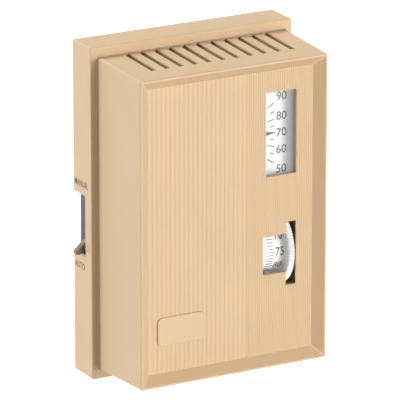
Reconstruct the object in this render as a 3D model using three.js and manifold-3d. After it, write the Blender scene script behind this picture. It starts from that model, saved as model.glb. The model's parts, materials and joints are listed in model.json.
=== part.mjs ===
// A pneumatic wall thermostat with a ribbed slip-on cover, a dial thermometer, a thumbwheel set point
// dial and a MANUAL / AUTO index lever. Millimetres. +Z is up, -Y is the front, and y = 0 is the wall.
// The origin is on the wall, at the middle of the mounting plate.
import * as THREE from "three";
import { mergeVertices } from "three/addons/utils/BufferGeometryUtils.js";
import Module from "manifold-3d";

const wasm = await Module();
wasm.setup();

// ---------- driving dimensions ----------
const GAP = 0.3; // running and assembly clearance between neighbouring pieces

const FLANGE = { w: 59.2, h: 89.4, depth: 9.8, corner: 0.6, edge: 0.4 };
const HOOD = { w: 55.4, h: 84.0, depth: 22.4, draftX: 0.45, draftZ: 0.9, corner: 0.5, edge: 0.3 };
const WALL = 1.6; // cover wall
const PANEL_WALL = 1.2; // front panel
const BEVEL = { rim: 0.3, inset: 2.5, sink: 2.4 }; // sloping frame around the sunken front panel

const FRONT_Y = -(FLANGE.depth + HOOD.depth);
const PANEL_Y = FRONT_Y + BEVEL.sink; // outer face of the panel
const PANEL_BACK_Y = PANEL_Y + PANEL_WALL;
const SLOTS = { count: 11, pitch: 4.05, width: 1.4, midX: 0.6, nearY: -25.3, farY: -10.4 };

const THERMO = { x: 2.2, z: 19.8, reach: 13.2, rest: 1.6 }; // arbor place, pointer length and its angle at 71 F
const THERMO_WINDOW = { x0: 10.4, x1: 19.3, z0: 9.8, z1: 32.2 };
const SCALE_Y = -25.3; // front of the scale plate

const DIAL = { y: -20.8, z: -11.6, wheelR: 10.5, wheelX: 17.4, wheelT: 1.0, rimX: 16.75, rimR: 8.7, drumR: 6.8, drumX: 10.35 };
const DIAL_WINDOW = { x0: 9.6, x1: 17.2, z0: -16.65, z1: -6.25 };
const WHEEL_SLOT = { x0: 16.45, x1: 19.3, z0: -20.3, z1: -3.1 };
const BADGE = { x: -14.6, z: -26.9, w: 13.6, h: 7.6 };

const BASE = { w: 55.2, h: 85.4, t: 4.4, corner: 1.2 };
const PLATE = { w: 50, h: 76, t: 1.2, corner: 3 };
const PLATE_POCKET = 1.5;

const LEVER = { x: -14, z: -3.55, rest: 21.5, rim: 13.6, t: 1.4, y0: -6.1 }; // rest is its angle at AUTO
const NOTCH = { y: -6.4, z0: -11.45, z1: 4.35 };

const SCALE_SWEEP = 219; // degrees of dial from 55 to 85 F, with 75 F at the front
const CAM = { x0: 6.6, x1: 9.0, low: 5.4, rise: 0.8 }; // snail cam on the dial shaft
const FOLLOWER = { y: -9.6, z: 2.4 }; // pivot of the set point lever
const FLAPPER = { y: -7.6, z: 9.0 }; // pivot of the flapper lever
const NOZZLE = { x: -5.5, z: 22 };

const NIPPLE_X = 9; // the two air connections are this far each side of the middle
const NIPPLE_Z = -6;

// ---------- materials ----------
const finish = (color, roughness, metalness = 0) => new THREE.MeshStandardMaterial({ color, roughness, metalness });
const BEIGE = finish("#dcc2a0", 0.55);
const CHARCOAL = finish("#4a4845", 0.6);
const WHITE = finish("#eceae2", 0.45);
const BLACK = finish("#1c1b1a", 0.5);
const STEEL = finish("#b9bcbd", 0.35, 1);
const ZINC = finish("#a9adae", 0.45, 1);
const DIE_CAST = finish("#9fa1a1", 0.5, 1);
const BRASS = finish("#b8954f", 0.35, 1);
const COPPER = finish("#a98a63", 0.4, 1);
const RUBBER = finish("#262524", 0.8);
const CLEAR = new THREE.MeshStandardMaterial({
  color: "#e6eeee",
  roughness: 0.08,
  transparent: true,
  opacity: 0.3,
});

// ---------- solid modelling ----------
// A closed geometry becomes a manifold solid, so that pieces can be joined and cut.
function toSolid(geometry) {
  const bare = geometry.index ? geometry.toNonIndexed() : geometry.clone();
  const onlyPosition = new THREE.BufferGeometry().setAttribute("position", bare.getAttribute("position"));
  const merged = mergeVertices(onlyPosition, 1e-4);
  return new wasm.Manifold(
    new wasm.Mesh({
      numProp: 3,
      vertProperties: merged.attributes.position.array,
      triVerts: new Uint32Array(merged.index.array),
    }),
  );
}

function toGeometry(solid) {
  const mesh = solid.getMesh();
  const geometry = new THREE.BufferGeometry();
  geometry.setAttribute("position", new THREE.BufferAttribute(new Float32Array(mesh.vertProperties), 3));
  geometry.setIndex(new THREE.BufferAttribute(new Uint32Array(mesh.triVerts), 1));
  geometry.computeVertexNormals();
  return geometry;
}

const join = (...geometries) => toGeometry(geometries.map(toSolid).reduce((all, next) => all.add(next)));
const cut = (body, ...tools) => toGeometry(tools.map(toSolid).reduce((left, tool) => left.subtract(tool), toSolid(body)));

// A box given by its low and high limits on each axis.
function block(x0, x1, y0, y1, z0, z1) {
  return new THREE.BoxGeometry(x1 - x0, y1 - y0, z1 - z0).translate((x0 + x1) / 2, (y0 + y1) / 2, (z0 + z1) / 2);
}

// A cylinder along one axis, from a to b on that axis; u and v are the other two coordinates in X, Y, Z order.
function rod(axis, radius, a, b, u, v, sides = 16) {
  const shape = new THREE.CylinderGeometry(radius, radius, b - a, sides);
  const mid = (a + b) / 2;
  if (axis === "x") return shape.rotateZ(Math.PI / 2).translate(mid, u, v);
  if (axis === "y") return shape.translate(u, mid, v);
  return shape.rotateX(Math.PI / 2).translate(u, v, mid);
}

// A turned piece about the Y axis: profile points are [radius, y], from one end of the axis to the other.
function turned(profile, sides = 16) {
  const points = profile.map(([radius, y]) => new THREE.Vector2(radius, y));
  const solid = toSolid(new THREE.LatheGeometry(points, sides));
  return toGeometry(solid.volume() < 0 ? flipped(solid) : solid);
}

function flipped(solid) {
  const mesh = solid.getMesh();
  const tris = mesh.triVerts.slice();
  for (let i = 0; i < tris.length; i += 3) [tris[i + 1], tris[i + 2]] = [tris[i + 2], tris[i + 1]];
  return new wasm.Manifold(new wasm.Mesh({ numProp: mesh.numProp, vertProperties: mesh.vertProperties, triVerts: tris }));
}

// An outline in X and Z, given as a THREE.Shape, made solid from y0 to y1 (y0 < y1).
function plateFrom(shape, y0, y1, curveSegments = 4) {
  const geometry = new THREE.ExtrudeGeometry(shape, { depth: y1 - y0, bevelEnabled: false, curveSegments });
  return geometry.rotateX(Math.PI / 2).translate(0, y1, 0);
}

// An outline whose shape x is Y and shape y is Z, made solid from x0 to x1.
function slabFrom(shape, x0, x1, curveSegments = 4) {
  const geometry = new THREE.ExtrudeGeometry(shape, { depth: x1 - x0, bevelEnabled: false, curveSegments });
  return geometry.applyMatrix4(new THREE.Matrix4().set(0, 0, 1, x0, 1, 0, 0, 0, 0, 1, 0, 0, 0, 0, 0, 1));
}

function outline(points) {
  return new THREE.Shape(points.map(([u, v]) => new THREE.Vector2(u, v)));
}

// A rectangle with round corners, centred on (cx, cz).
function roundedRect(w, h, r, cx = 0, cz = 0) {
  const [x, z] = [w / 2, h / 2];
  const shape = new THREE.Shape();
  shape.moveTo(cx - x + r, cz - z);
  shape.lineTo(cx + x - r, cz - z).absarc(cx + x - r, cz - z + r, r, -Math.PI / 2, 0);
  shape.lineTo(cx + x, cz + z - r).absarc(cx + x - r, cz + z - r, r, 0, Math.PI / 2);
  shape.lineTo(cx - x + r, cz + z).absarc(cx - x + r, cz + z - r, r, Math.PI / 2, Math.PI);
  shape.lineTo(cx - x, cz - z + r).absarc(cx - x + r, cz - z + r, r, Math.PI, 1.5 * Math.PI);
  return shape;
}

// One ring of a loft: a rounded rectangle in the plane y, with the same number of points at any size.
const CORNER_STEPS = 3;
function ring(w, h, r, y) {
  const points = [];
  const centres = [
    [1, -1, -Math.PI / 2],
    [1, 1, 0],
    [-1, 1, Math.PI / 2],
    [-1, -1, Math.PI],
  ];
  for (const [sx, sz, start] of centres)
    for (let i = 0; i <= CORNER_STEPS; i++) {
      const a = start + (i / CORNER_STEPS) * (Math.PI / 2);
      points.push([sx * (w / 2 - r) + r * Math.cos(a), y, sz * (h / 2 - r) + r * Math.sin(a)]);
    }
  return points;
}

// A closed solid through rings that follow each other towards the front (-Y).
function loft(rings) {
  const n = rings[0].length;
  const positions = rings.flat(2);
  const index = [];
  for (let k = 0; k + 1 < rings.length; k++)
    for (let i = 0; i < n; i++) {
      const j = (i + 1) % n;
      const [a, b, c, d] = [k * n + i, k * n + j, (k + 1) * n + j, (k + 1) * n + i];
      index.push(a, b, c, a, c, d);
    }
  const last = (rings.length - 1) * n;
  for (let i = 1; i + 1 < n; i++) {
    index.push(0, i + 1, i);
    index.push(last, last + i, last + i + 1);
  }
  const geometry = new THREE.BufferGeometry();
  geometry.setAttribute("position", new THREE.BufferAttribute(new Float32Array(positions), 3));
  geometry.setIndex(index);
  const solid = toSolid(geometry);
  return toGeometry(solid.volume() < 0 ? flipped(solid) : solid);
}

// A round wire along a list of points.
function wire(points, radius, steps, sides = 8) {
  const path = new THREE.CatmullRomCurve3(points.map((p) => new THREE.Vector3(...p)));
  const section = new THREE.Shape();
  section.absarc(0, 0, radius, 0, 2 * Math.PI);
  return new THREE.ExtrudeGeometry(section, { steps, extrudePath: path, curveSegments: sides, bevelEnabled: false });
}

// A compression spring along Y, between the planes y0 and y1.
function coilSpring(radius, wireR, turns, y0, y1, x, z) {
  const points = [];
  const stepsPerTurn = 8;
  for (let i = 0; i <= turns * stepsPerTurn; i++) {
    const a = (i / stepsPerTurn) * 2 * Math.PI;
    const y = y0 + wireR + ((y1 - y0 - 2 * wireR) * i) / (turns * stepsPerTurn);
    points.push([x + radius * Math.cos(a), y, z + radius * Math.sin(a)]);
  }
  return wire(points, wireR, turns * stepsPerTurn, 3);
}

// A slotted screw whose head faces the front (-Y): the head's underside is at y = 0.
function slottedScrew({ headR, headH, shankR, length, slot = headR / 4 }) {
  const body = turned(
    [
      [0, -headH],
      [headR * 0.85, -headH],
      [headR, -headH * 0.6],
      [headR, 0],
      [shankR, 0],
      [shankR, length],
      [0, length],
    ],
    12,
  );
  return cut(body, block(-slot / 2, slot / 2, -headH - 1, -headH * 0.45, -headR - 1, headR + 1));
}

function piece(name, geometry, material, x = 0, y = 0, z = 0) {
  const mesh = new THREE.Mesh(geometry, material);
  mesh.name = name;
  mesh.position.set(x, y, z);
  return mesh;
}

const degrees = (a) => (a * Math.PI) / 180;

// ---------- cover ----------
function coverOuter() {
  const f = FLANGE;
  const h = HOOD;
  const [w1, h1] = [h.w - 2 * h.draftX, h.h - 2 * h.draftZ];
  const rim = 2 * (h.edge + BEVEL.rim);
  const inner = rim + 2 * BEVEL.inset;
  return loft([
    ring(f.w, f.h, f.corner, 0),
    ring(f.w, f.h, f.corner, -f.depth + f.edge),
    ring(f.w - f.edge, f.h - f.edge, f.corner, -f.depth + f.edge * 0.25),
    ring(f.w - 2 * f.edge, f.h - 2 * f.edge, f.corner, -f.depth),
    ring(h.w + 0.8, h.h + 0.8, h.corner, -f.depth - 0.05),
    ring(h.w, h.h, h.corner, -f.depth - 0.6),
    ring(w1, h1, h.corner, FRONT_Y + h.edge),
    ring(w1 - h.edge, h1 - h.edge, h.corner, FRONT_Y + h.edge * 0.25),
    ring(w1 - 2 * h.edge, h1 - 2 * h.edge, h.corner * 0.7, FRONT_Y),
    ring(w1 - rim, h1 - rim, h.corner * 0.5, FRONT_Y),
    ring(w1 - inner, h1 - inner, 0.3, PANEL_Y),
  ]);
}

function coverInner() {
  const f = FLANGE;
  const h = HOOD;
  const [w1, h1] = [h.w - 2 * h.draftX - 2 * WALL, h.h - 2 * h.draftZ - 2 * WALL];
  const slope = 1.0; // the cavity narrows this much on each side, behind the sloping frame
  return loft([
    ring(f.w - 2 * WALL, f.h - 2 * WALL, 1.0, 1),
    ring(f.w - 2 * WALL, f.h - 2 * WALL, 1.0, -f.depth + WALL),
    ring(h.w - 2 * WALL, h.h - 2 * WALL, 0.8, -f.depth + WALL - 0.05),
    ring(w1, h1, 0.8, PANEL_BACK_Y - slope),
    ring(w1 - 2 * slope, h1 - 2 * slope, 0.6, PANEL_BACK_Y),
  ]);
}

function frontCover() {
  const tools = [coverInner()];
  const t = THERMO_WINDOW;
  tools.push(block(t.x0, t.x1, FRONT_Y - 1, -20, t.z0, t.z1));
  const d = DIAL_WINDOW;
  tools.push(block(d.x0, d.x1, FRONT_Y - 1, -20, d.z0, d.z1));
  const s = WHEEL_SLOT;
  tools.push(block(s.x0, s.x1, FRONT_Y - 1, -20, s.z0, s.z1));
  tools.push(rod("x", DIAL.wheelR + 0.6, s.x0, s.x1, DIAL.y, DIAL.z, 32));
  const reach = HOOD.h;
  for (let i = 0; i < SLOTS.count; i++) {
    const x = SLOTS.midX + (i - (SLOTS.count - 1) / 2) * SLOTS.pitch;
    tools.push(block(x - SLOTS.width / 2, x + SLOTS.width / 2, SLOTS.nearY, SLOTS.farY, -reach, reach));
  }
  tools.push(block(-FLANGE.w, -FLANGE.w / 2 + WALL + 1, NOTCH.y, 1, NOTCH.z0, NOTCH.z1));
  for (const x of [-COVER_SCREW_X, COVER_SCREW_X])
    tools.push(rod("z", COVER_SCREW_R + GAP, -FLANGE.h, -30, x, COVER_SCREW_Y, 20));
  const bosses = SCALE_SCREWS.map(([x, z]) =>
    cut(rod("y", 2.1, PANEL_BACK_Y - 0.4, SCALE_Y - GAP, x, z, 20), rod("y", 0.95, PANEL_BACK_Y + 0.1, 0, x, z, 16)),
  );
  const { x, z, w, h } = BADGE;
  const badge = plateFrom(roundedRect(w, h, 1.2, x, z), PANEL_Y - 0.35, PANEL_Y + 0.2);
  return join(cut(coverOuter(), ...tools), ...bosses, badge);
}

const COVER_SCREW_X = 18;
const COVER_SCREW_Y = -3.0;
const COVER_SCREW_R = 1.5;
const SCALE_SCREWS = [
  [-1.5, 30.6],
  [-1.5, 9.6],
];

// A socket set screw that stands in the flange's underside and bears on the base's lower edge.
function coverScrew() {
  const top = -BASE.h / 2 - GAP;
  const bottom = -FLANGE.h / 2 + 0.25;
  const body = rod("z", COVER_SCREW_R, bottom, top, 0, 0, 20);
  const socket = rod("z", 0.8, bottom - 1, bottom + 0.9, 0, 0, 6);
  return cut(body, socket);
}

// ---------- thermometer, carried by the cover ----------
const LENS = { x0: 9.6, x1: 20.6, z0: 8.4, z1: 33.0, front: PANEL_BACK_Y + GAP, wall: 0.6 };

function thermometerLens() {
  const { x0, x1, z0, z1, front, wall } = LENS;
  const shell = block(x0, x1, front, SCALE_Y - GAP, z0, z1);
  const hollow = block(x0 - 1, x1 - wall, front + wall, SCALE_Y + 1, z0 + wall, z1 - wall);
  return cut(shell, hollow);
}

const SCALE = { x0: -4.5, x1: 21.2, z0: 7.4, z1: 33.8, t: 0.5 };

function scalePlate() {
  const { x0, x1, z0, z1, t } = SCALE;
  const body = plateFrom(roundedRect(x1 - x0, z1 - z0, 1.5, (x0 + x1) / 2, (z0 + z1) / 2), SCALE_Y, SCALE_Y + t);
  const holes = SCALE_SCREWS.map(([x, z]) => rod("y", 1.1, -30, -20, x, z, 16));
  return cut(body, ...holes, rod("y", 1.3, -30, -20, THERMO.x, THERMO.z, 20));
}

const POINTER_Y = SCALE_Y - 1.0;

function pointer() {
  const hub = rod("y", 1.9, POINTER_Y - 0.2, POINTER_Y + 0.45, 0, 0, 20);
  const { reach } = THERMO;
  const blade = outline([
    [-3.4, 0.55],
    [-3.4, -0.55],
    [0, -0.8],
    [reach - 2.4, -0.42],
    [reach, 0],
    [reach - 2.4, 0.42],
    [0, 0.8],
  ]);
  const bore = rod("y", 0.75, -40, -10, 0, 0, 16);
  return cut(join(hub, plateFrom(blade, POINTER_Y, POINTER_Y + 0.25)), bore);
}

// A flat strip wound into a spiral about (0, 0), its ends at radius r0 and r1.
function spiralStrip(r0, r1, turns, thickness, y0, y1) {
  const steps = Math.round(turns * 14);
  const side = (offset) =>
    Array.from({ length: steps + 1 }, (_, i) => {
      const a = (i / steps) * turns * 2 * Math.PI;
      const r = r0 + ((r1 - r0) * i) / steps + offset;
      return [r * Math.cos(a), r * Math.sin(a)];
    });
  return plateFrom(outline([...side(thickness / 2), ...side(-thickness / 2).reverse()]), y0, y1);
}

function thermometerArbor() {
  return join(rod("y", 0.45, POINTER_Y - 0.8, -19.6, 0, 0, 16), rod("y", 1.2, -24.1, -23.7, 0, 0, 16));
}

// A bent tab on the back of the scale plate that anchors the coil's outer end.
function coilBracket() {
  const foot = block(7.1, 8.1, -24.5, -20.2, -2.4, 2.4);
  const tab = block(7.1, 10.6, -24.5, -24.0, -2.4, 2.4);
  return join(foot, tab);
}

// ---------- base, fixed to the wall ----------
const WALL_SCREWS = [30, -30];
const BASE_SCREWS = [
  [-20.5, 33],
  [20.5, -33],
];

function wallPlate() {
  const body = plateFrom(roundedRect(PLATE.w, PLATE.h, PLATE.corner), -PLATE.t, 0);
  const holes = WALL_SCREWS.map((z) => plateFrom(roundedRect(4.4, 8, 2.2, 0, z), -5, 5));
  const ports = [-NIPPLE_X, NIPPLE_X].map((x) => rod("y", 4.2, -5, 5, x, NIPPLE_Z, 24));
  const taps = BASE_SCREWS.map(([x, z]) => rod("y", 1.2, -5, 5, x, z, 16));
  return cut(body, ...holes, ...ports, ...taps);
}

function mountingBase() {
  const body = plateFrom(roundedRect(BASE.w, BASE.h, BASE.corner), -BASE.t, 0);
  const pocket = plateFrom(
    roundedRect(PLATE.w + 2 * GAP, PLATE.h + 2 * GAP, PLATE.corner + GAP),
    -PLATE_POCKET,
    1,
  );
  const wallHoles = WALL_SCREWS.map((z) => rod("y", 4.6, -9, 1, 0, z, 24));
  const ports = [-NIPPLE_X, NIPPLE_X].map((x) => rod("y", 3.0, -9, 1, x, NIPPLE_Z, 24));
  const screwHoles = BASE_SCREWS.map(([x, z]) => rod("y", 1.4, -9, 1, x, z, 16));
  const pivotHole = rod("y", 1.7, -9, 1, LEVER.x, LEVER.z, 16);
  return cut(body, pocket, ...wallHoles, ...ports, ...screwHoles, pivotHole);
}

// A hose barb for the air line: it passes out through the wall plate into the wall.
function nipple() {
  const barb = [
    [0, 11],
    [1.5, 11],
    [2.5, 9.0],
    [1.9, 9.0],
    [2.5, 6.2],
    [1.9, 6.2],
    [1.9, 0.6],
    [2.6, 0.6],
    [2.6, -4.4],
    [0, -4.4],
  ];
  return cut(turned(barb), rod("y", 1.0, -10, 12, 0, 0, 16));
}

function sealRing() {
  const tube = new THREE.TorusGeometry(3.35, 0.4, 6, 16).rotateX(Math.PI / 2);
  return toGeometry(toSolid(tube));
}

// ---------- relay ----------
const RELAY = { x: -13.5, z: -26.5, r: 9.5 };

function relayBody() {
  const { x, z, r } = RELAY;
  const can = rod("y", r, -11.2, -BASE.t - GAP, x, z, 28);
  const neck = block(-7.5, 0.5, -8.2, -BASE.t - GAP, -24.5, -20.5);
  const feet = [-1, 1].map((s) => rod("y", 2.4, -8.2, -BASE.t - GAP, x + s * 8.2, z - 6.6));
  const well = rod("y", 6.2, -12, -9.0, x, z, 24);
  const taps = RELAY_SCREWS.map(([u, v]) => rod("y", 0.75, -12, -7.2, x + u, z + v, 12));
  return cut(join(can, neck, ...feet), well, ...taps);
}

const RELAY_SCREWS = [45, 135, 225, 315].map((a) => [7.9 * Math.cos(degrees(a)), 7.9 * Math.sin(degrees(a))]);

function ringOfHoles(x, z, r, y0, y1) {
  return RELAY_SCREWS.map(([u, v]) => rod("y", r, y0, y1, x + u, z + v, 12));
}

function relayDiaphragm() {
  const { x, z, r } = RELAY;
  return cut(rod("y", r - 0.2, -12.0, -11.5, x, z, 28), ...ringOfHoles(x, z, 1.0, -13, -10));
}

function relayCap() {
  const { x, z, r } = RELAY;
  const disc = rod("y", r, -14.4, -12.3, x, z, 28);
  const dome = rod("y", 5.2, -15.6, -14.0, x, z, 24);
  const port = rod("y", 1.6, -16.6, -15.0, x, z, 16);
  const bore = rod("y", 0.9, -20, -12, x, z, 12);
  return cut(join(disc, dome, port), bore, ...ringOfHoles(x, z, 1.0, -15, -11));
}

// ---------- nozzle, flapper and set point lever ----------
function nozzleBlock() {
  const { x, z } = NOZZLE;
  const body = block(x - 5, x + 4.2, -6.4, -BASE.t - GAP, z - 6, z + 10);
  const boss = rod("y", 2.6, -7.4, -6.0, x, z);
  const bore = rod("y", 1.3, -9, -5.2, x, z);
  const screwHoles = BLOCK_SCREWS.map(([u, v]) => rod("y", 0.9, -9, -2, x + u, z + v, 12));
  return cut(join(body, boss), bore, ...screwHoles);
}

const BLOCK_SCREWS = [
  [-3.4, -4.2],
  [2.6, -4.2],
];

function nozzle() {
  return cut(
    turned(
      [
        [0, -9.1],
        [0.5, -9.1],
        [1.0, -8.2],
        [1.0, -5.4],
        [0, -5.4],
      ],
      16,
    ),
    rod("y", 0.25, -10, -5, 0, 0, 8),
  );
}

// A sheet metal stand with two ears: it holds the flapper's pivot pin.
function flapperStand() {
  const { y, z } = FLAPPER;
  const foot = block(-12.4, 1.4, -5.6, -BASE.t - GAP, z - 2.4, z + 2.4);
  const ears = [
    [-12.4, -11.6],
    [0.6, 1.4],
  ].map(([a, b]) => block(a, b, y - 1.6, -5.0, z - 2.4, z + 2.4));
  return cut(join(foot, ...ears), rod("x", 0.8, -20, 10, y, z, 16));
}

function flapperLever() {
  const { y, z } = FLAPPER;
  const front = y - 2.6;
  const arm = plateFrom(
    outline([
      [-9.4, -2.4],
      [-1.6, -2.4],
      [-1.6, 9.0],
      [-2.6, 15.5],
      [-2.6, 27.2],
      [-8.4, 27.2],
      [-8.4, 15.5],
      [-9.4, 9.0],
    ]),
    front,
    front + 0.8,
  ).translate(0, 0, z);
  const ears = [
    [-9.4, -8.6],
    [-2.4, -1.6],
  ].map(([a, b]) => block(a, b, front + 0.4, y + 1.2, z - 2.4, z + 1.8));
  const pinHoles = rod("x", 0.9, -20, 10, y, z, 16);
  const slot = block(-6.1, -4.9, front - 1, front + 2, z + 3.0, z + 10.2);
  const tapped = rod("y", 1.15, front - 1, front + 2, NOZZLE.x, z + 24.6, 16);
  return cut(join(arm, ...ears), pinHoles, slot, tapped);
}

// The saddle that slides up and down the flapper to set the throttling range.
function sensitivitySlider() {
  const front = FLAPPER.y - 2.6;
  const z = FLAPPER.z + 6.6;
  const saddle = block(-8.2, -2.8, front - 1.3, front - GAP, z - 1.5, z + 1.5);
  const finger = block(-7.4, -6.8, front - 2.6, front - 1.0, z - 1.5, z + 1.5);
  const finger2 = block(-4.2, -3.6, front - 2.6, front - 1.0, z - 1.5, z + 1.5);
  const key = block(-5.8, -5.2, front - 0.5, front + 1.9, z - 1.1, z + 1.1);
  const foot = block(-6.6, -4.4, front + 1.1, front + 1.9, z - 1.1, z + 1.1);
  return join(saddle, finger, finger2, key, foot);
}

// Turning this screw shifts the point at which the strip meets the flapper.
function calibrationScrew() {
  return cut(
    turned(
      [
        [0, -2.6],
        [1.7, -2.6],
        [2.0, -2.2],
        [2.0, -0.4],
        [1.6, 0],
        [0.85, 0],
        [0.85, 3.0],
        [0, 3.0],
      ],
      20,
    ),
    block(-0.3, 0.3, -4, -1.6, -3, 3),
  );
}

const STRIP = { x0: 2.6, x1: 10.0, z0: 14.6, z1: 37.6, y: -14.0, t: 0.7 };

// A bell crank: its foot rides on the cam and its head carries the sensing strip.
function setpointLever() {
  const { y, z } = FOLLOWER;
  const camBack = DIAL.y + CAM.low + CAM.rise / 3;
  const nose = camBack + GAP;
  const side = outline([
    [y + 1.4, z - 1.6],
    [y + 1.4, z + 1.6],
    [STRIP.y + 2.2, z + 9.2],
    [STRIP.y + 2.2, STRIP.z0 + 4.2],
    [STRIP.y + GAP, STRIP.z0 + 4.2],
    [STRIP.y + GAP, z + 7.2],
    [y - 1.6, z + 0.6],
    [y - 1.4, DIAL.z + 6.0],
    [nose, DIAL.z + 2.2],
    [nose, DIAL.z - 2.2],
    [nose + 1.4, DIAL.z - 2.2],
    [nose + 1.4, DIAL.z + 2.6],
    [y + 0.6, DIAL.z + 6.4],
  ]);
  const web = slabFrom(side, 6.8, 8.8);
  const head = block(2.6, 10.0, STRIP.y + GAP, STRIP.y + 1.2, STRIP.z0 - 0.6, STRIP.z0 + 4.2);
  const hub = rod("x", 2.0, 5.4, 10.2, y, z, 20);
  const pinHole = rod("x", 1.1, 0, 20, y, z, 16);
  const screwHole = rod("y", 1.1, -20, 0, 4.6, STRIP.z0 + 2.0, 12);
  return cut(join(web, head, hub), pinHole, screwHole);
}

function bimetalStrip() {
  const { x0, x1, z0, z1, y, t } = STRIP;
  const strip = block(x0, x1, y - t, y, z0, z1);
  const slot = block(x0 + 3.1, x1 - 3.1, y - 2, y + 1, z0 + 8, z1 - 5);
  const toe = block(-7.6, x0 + 0.5, y - t, y, z1 - 5.6, z1);
  return cut(join(strip, toe), slot, rod("y", 1.1, -20, 0, 4.6, z0 + 2.0, 12), rod("y", 1.1, -20, 0, 8.0, z0 + 2.0, 12));
}

function stripClamp() {
  const { z0, y, t } = STRIP;
  const bar = block(3.0, 9.6, y - t - GAP - 0.9, y - t - GAP, z0 + 0.3, z0 + 3.7);
  return cut(bar, rod("y", 1.1, -20, 0, 4.6, z0 + 2.0, 12));
}

// The stand that carries the set point lever's pin, beside the dial bracket.
function leverStand() {
  const { y, z } = FOLLOWER;
  const foot = block(3.6, 13.0, -5.6, -BASE.t - GAP, z - 1.0, z + 5.6);
  const ears = [
    [3.6, 4.6],
    [12.0, 13.0],
  ].map(([a, b]) => block(a, b, y - 1.9, -5.0, z - 1.0, z + 2.0));
  return cut(join(foot, ...ears), rod("x", 0.9, 0, 20, y, z, 16));
}

// ---------- dial ----------
const SHAFT_R = 1.0;
const SHAFT_BORE = SHAFT_R + GAP;
const EAR = { left: 3.4, right: 20.6, t: 0.9 };

function dialBracket() {
  const { y, z } = DIAL;
  const plate = block(EAR.left, EAR.right + EAR.t, -5.5, -BASE.t - GAP, z - 8.4, z + 8.0);
  const ear = (x) =>
    slabFrom(
      outline([
        [-5.0, z - 6.0],
        [-5.0, z + 6.0],
        [y + 1.0, z + 2.8],
        [y - 2.4, z + 2.8],
        [y - 2.4, z - 2.8],
        [y + 1.0, z - 2.8],
      ]),
      x,
      x + EAR.t,
    );
  const shaftHole = rod("x", SHAFT_BORE, 0, 30, y, z);
  const screws = BRACKET_SCREWS.map(([u, v]) => rod("y", 1.3, -9, 0, u, v, 16));
  const portClear = block(5.2, 13.0, -9, 0, NIPPLE_Z - 3.9, NIPPLE_Z + 10);
  return cut(join(plate, ear(EAR.left), ear(EAR.right)), shaftHole, portClear, ...screws);
}

const BRACKET_SCREWS = [
  [6.6, -17.2],
  [13.6, -17.2],
];

function dialDrum() {
  const { drumX, wheelX, drumR } = DIAL;
  const right = wheelX - GAP;
  const barrel = rod("x", drumR, drumX, right, 0, 0, 48);
  const rim = rod("x", drumR + 0.5, drumX, drumX + 0.85, 0, 0, 48);
  const hollow = rod("x", drumR - 1.2, drumX - 1, right - 1.2, 0, 0, 32);
  const hub = rod("x", 2.6, drumX - 0.2, right, 0, 0, 20);
  return cut(join(cut(join(barrel, rim), hollow), hub), rod("x", SHAFT_BORE, 0, 30, 0, 0));
}

// A thin web with a wider rim, which overhangs the drum's end.
function thumbwheel() {
  const { wheelX, wheelT, wheelR, rimX, rimR } = DIAL;
  const disc = rod("x", wheelR, rimX, wheelX + wheelT, 0, 0, 72);
  const recess = rod("x", rimR, rimX - 1, wheelX, 0, 0, 48);
  return cut(cut(disc, recess), rod("x", SHAFT_BORE, 0, 30, 0, 0));
}

// A snail cam: its radius grows evenly with the dial's turn over the scale, then falls back.
// It meets the lever at its back (+Y), which is angle 0 of the outline. The dial rests two thirds of the
// way from 55 to 85 F, so the 85 F end of the outline lies a third of the sweep past the lever.
function setpointCam() {
  const start = SCALE_SWEEP / 3;
  const fallSweep = 360 - SCALE_SWEEP;
  const at = (radius, angle) => [radius * Math.cos(degrees(angle)), radius * Math.sin(degrees(angle))];
  const share = (i, steps) => i / steps;
  const rise = Array.from({ length: 31 }, (_, i) =>
    at(CAM.low + CAM.rise * share(i, 30), start - SCALE_SWEEP * share(i, 30)),
  );
  const fall = Array.from({ length: 11 }, (_, i) =>
    at(CAM.low + CAM.rise * (1 - share(i + 1, 12)), start - SCALE_SWEEP - fallSweep * share(i + 1, 12)),
  );
  return cut(slabFrom(outline([...rise, ...fall]), CAM.x0, CAM.x1), rod("x", SHAFT_BORE, 0, 30, 0, 0));
}

// ---------- index lever and its valve ----------
const NOSE = { reach: 4.4, r: 1.0 }; // the short end of the index lever, which drives the valve stem

// Drawn level and then turned to its rest angle: a fan inside the cover, a finger tab that is set back
// where it leaves the notch, and a nose.
function indexLever() {
  const { rim, t, y0 } = LEVER;
  const half = 14;
  const fan = new THREE.Shape();
  fan.moveTo(0, -2.8);
  fan.absarc(0, 0, rim, degrees(180 + half), degrees(180 - half), true);
  fan.lineTo(0, 2.8);
  fan.lineTo(2.4, 1.2);
  fan.lineTo(NOSE.reach, NOSE.r);
  fan.absarc(NOSE.reach, 0, NOSE.r, Math.PI / 2, -Math.PI / 2, true);
  fan.lineTo(2.4, -1.2);
  fan.closePath();
  const stem = outline([
    [-rim + 1, -1.35],
    [-16.6, -1.35],
    [-16.6, 1.35],
    [-rim + 1, 1.35],
  ]);
  const tab = outline([
    [-15.3, -1.35],
    [-18.4, -1.35],
    [-19.3, -0.9],
    [-19.3, -0.3],
    [-15.3, 1.35],
  ]);
  const bore = rod("y", 1.9, -9, 0, 0, 0, 20);
  const back = -3.6;
  const body = join(plateFrom(fan, y0, y0 + t, 8), plateFrom(stem, y0, y0 + t), plateFrom(tab, y0 + 0.7, back));
  return cut(body, bore).rotateY(-degrees(LEVER.rest));
}

// A shouldered rivet: the lever turns on it.
function leverRivet() {
  const back = -PLATE_POCKET - 0.2;
  return turned([
    [0, -7.2],
    [2.8, -7.2],
    [2.8, LEVER.y0 - GAP],
    [1.6, LEVER.y0 - GAP],
    [1.4, back],
    [0, back],
  ]);
}

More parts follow.
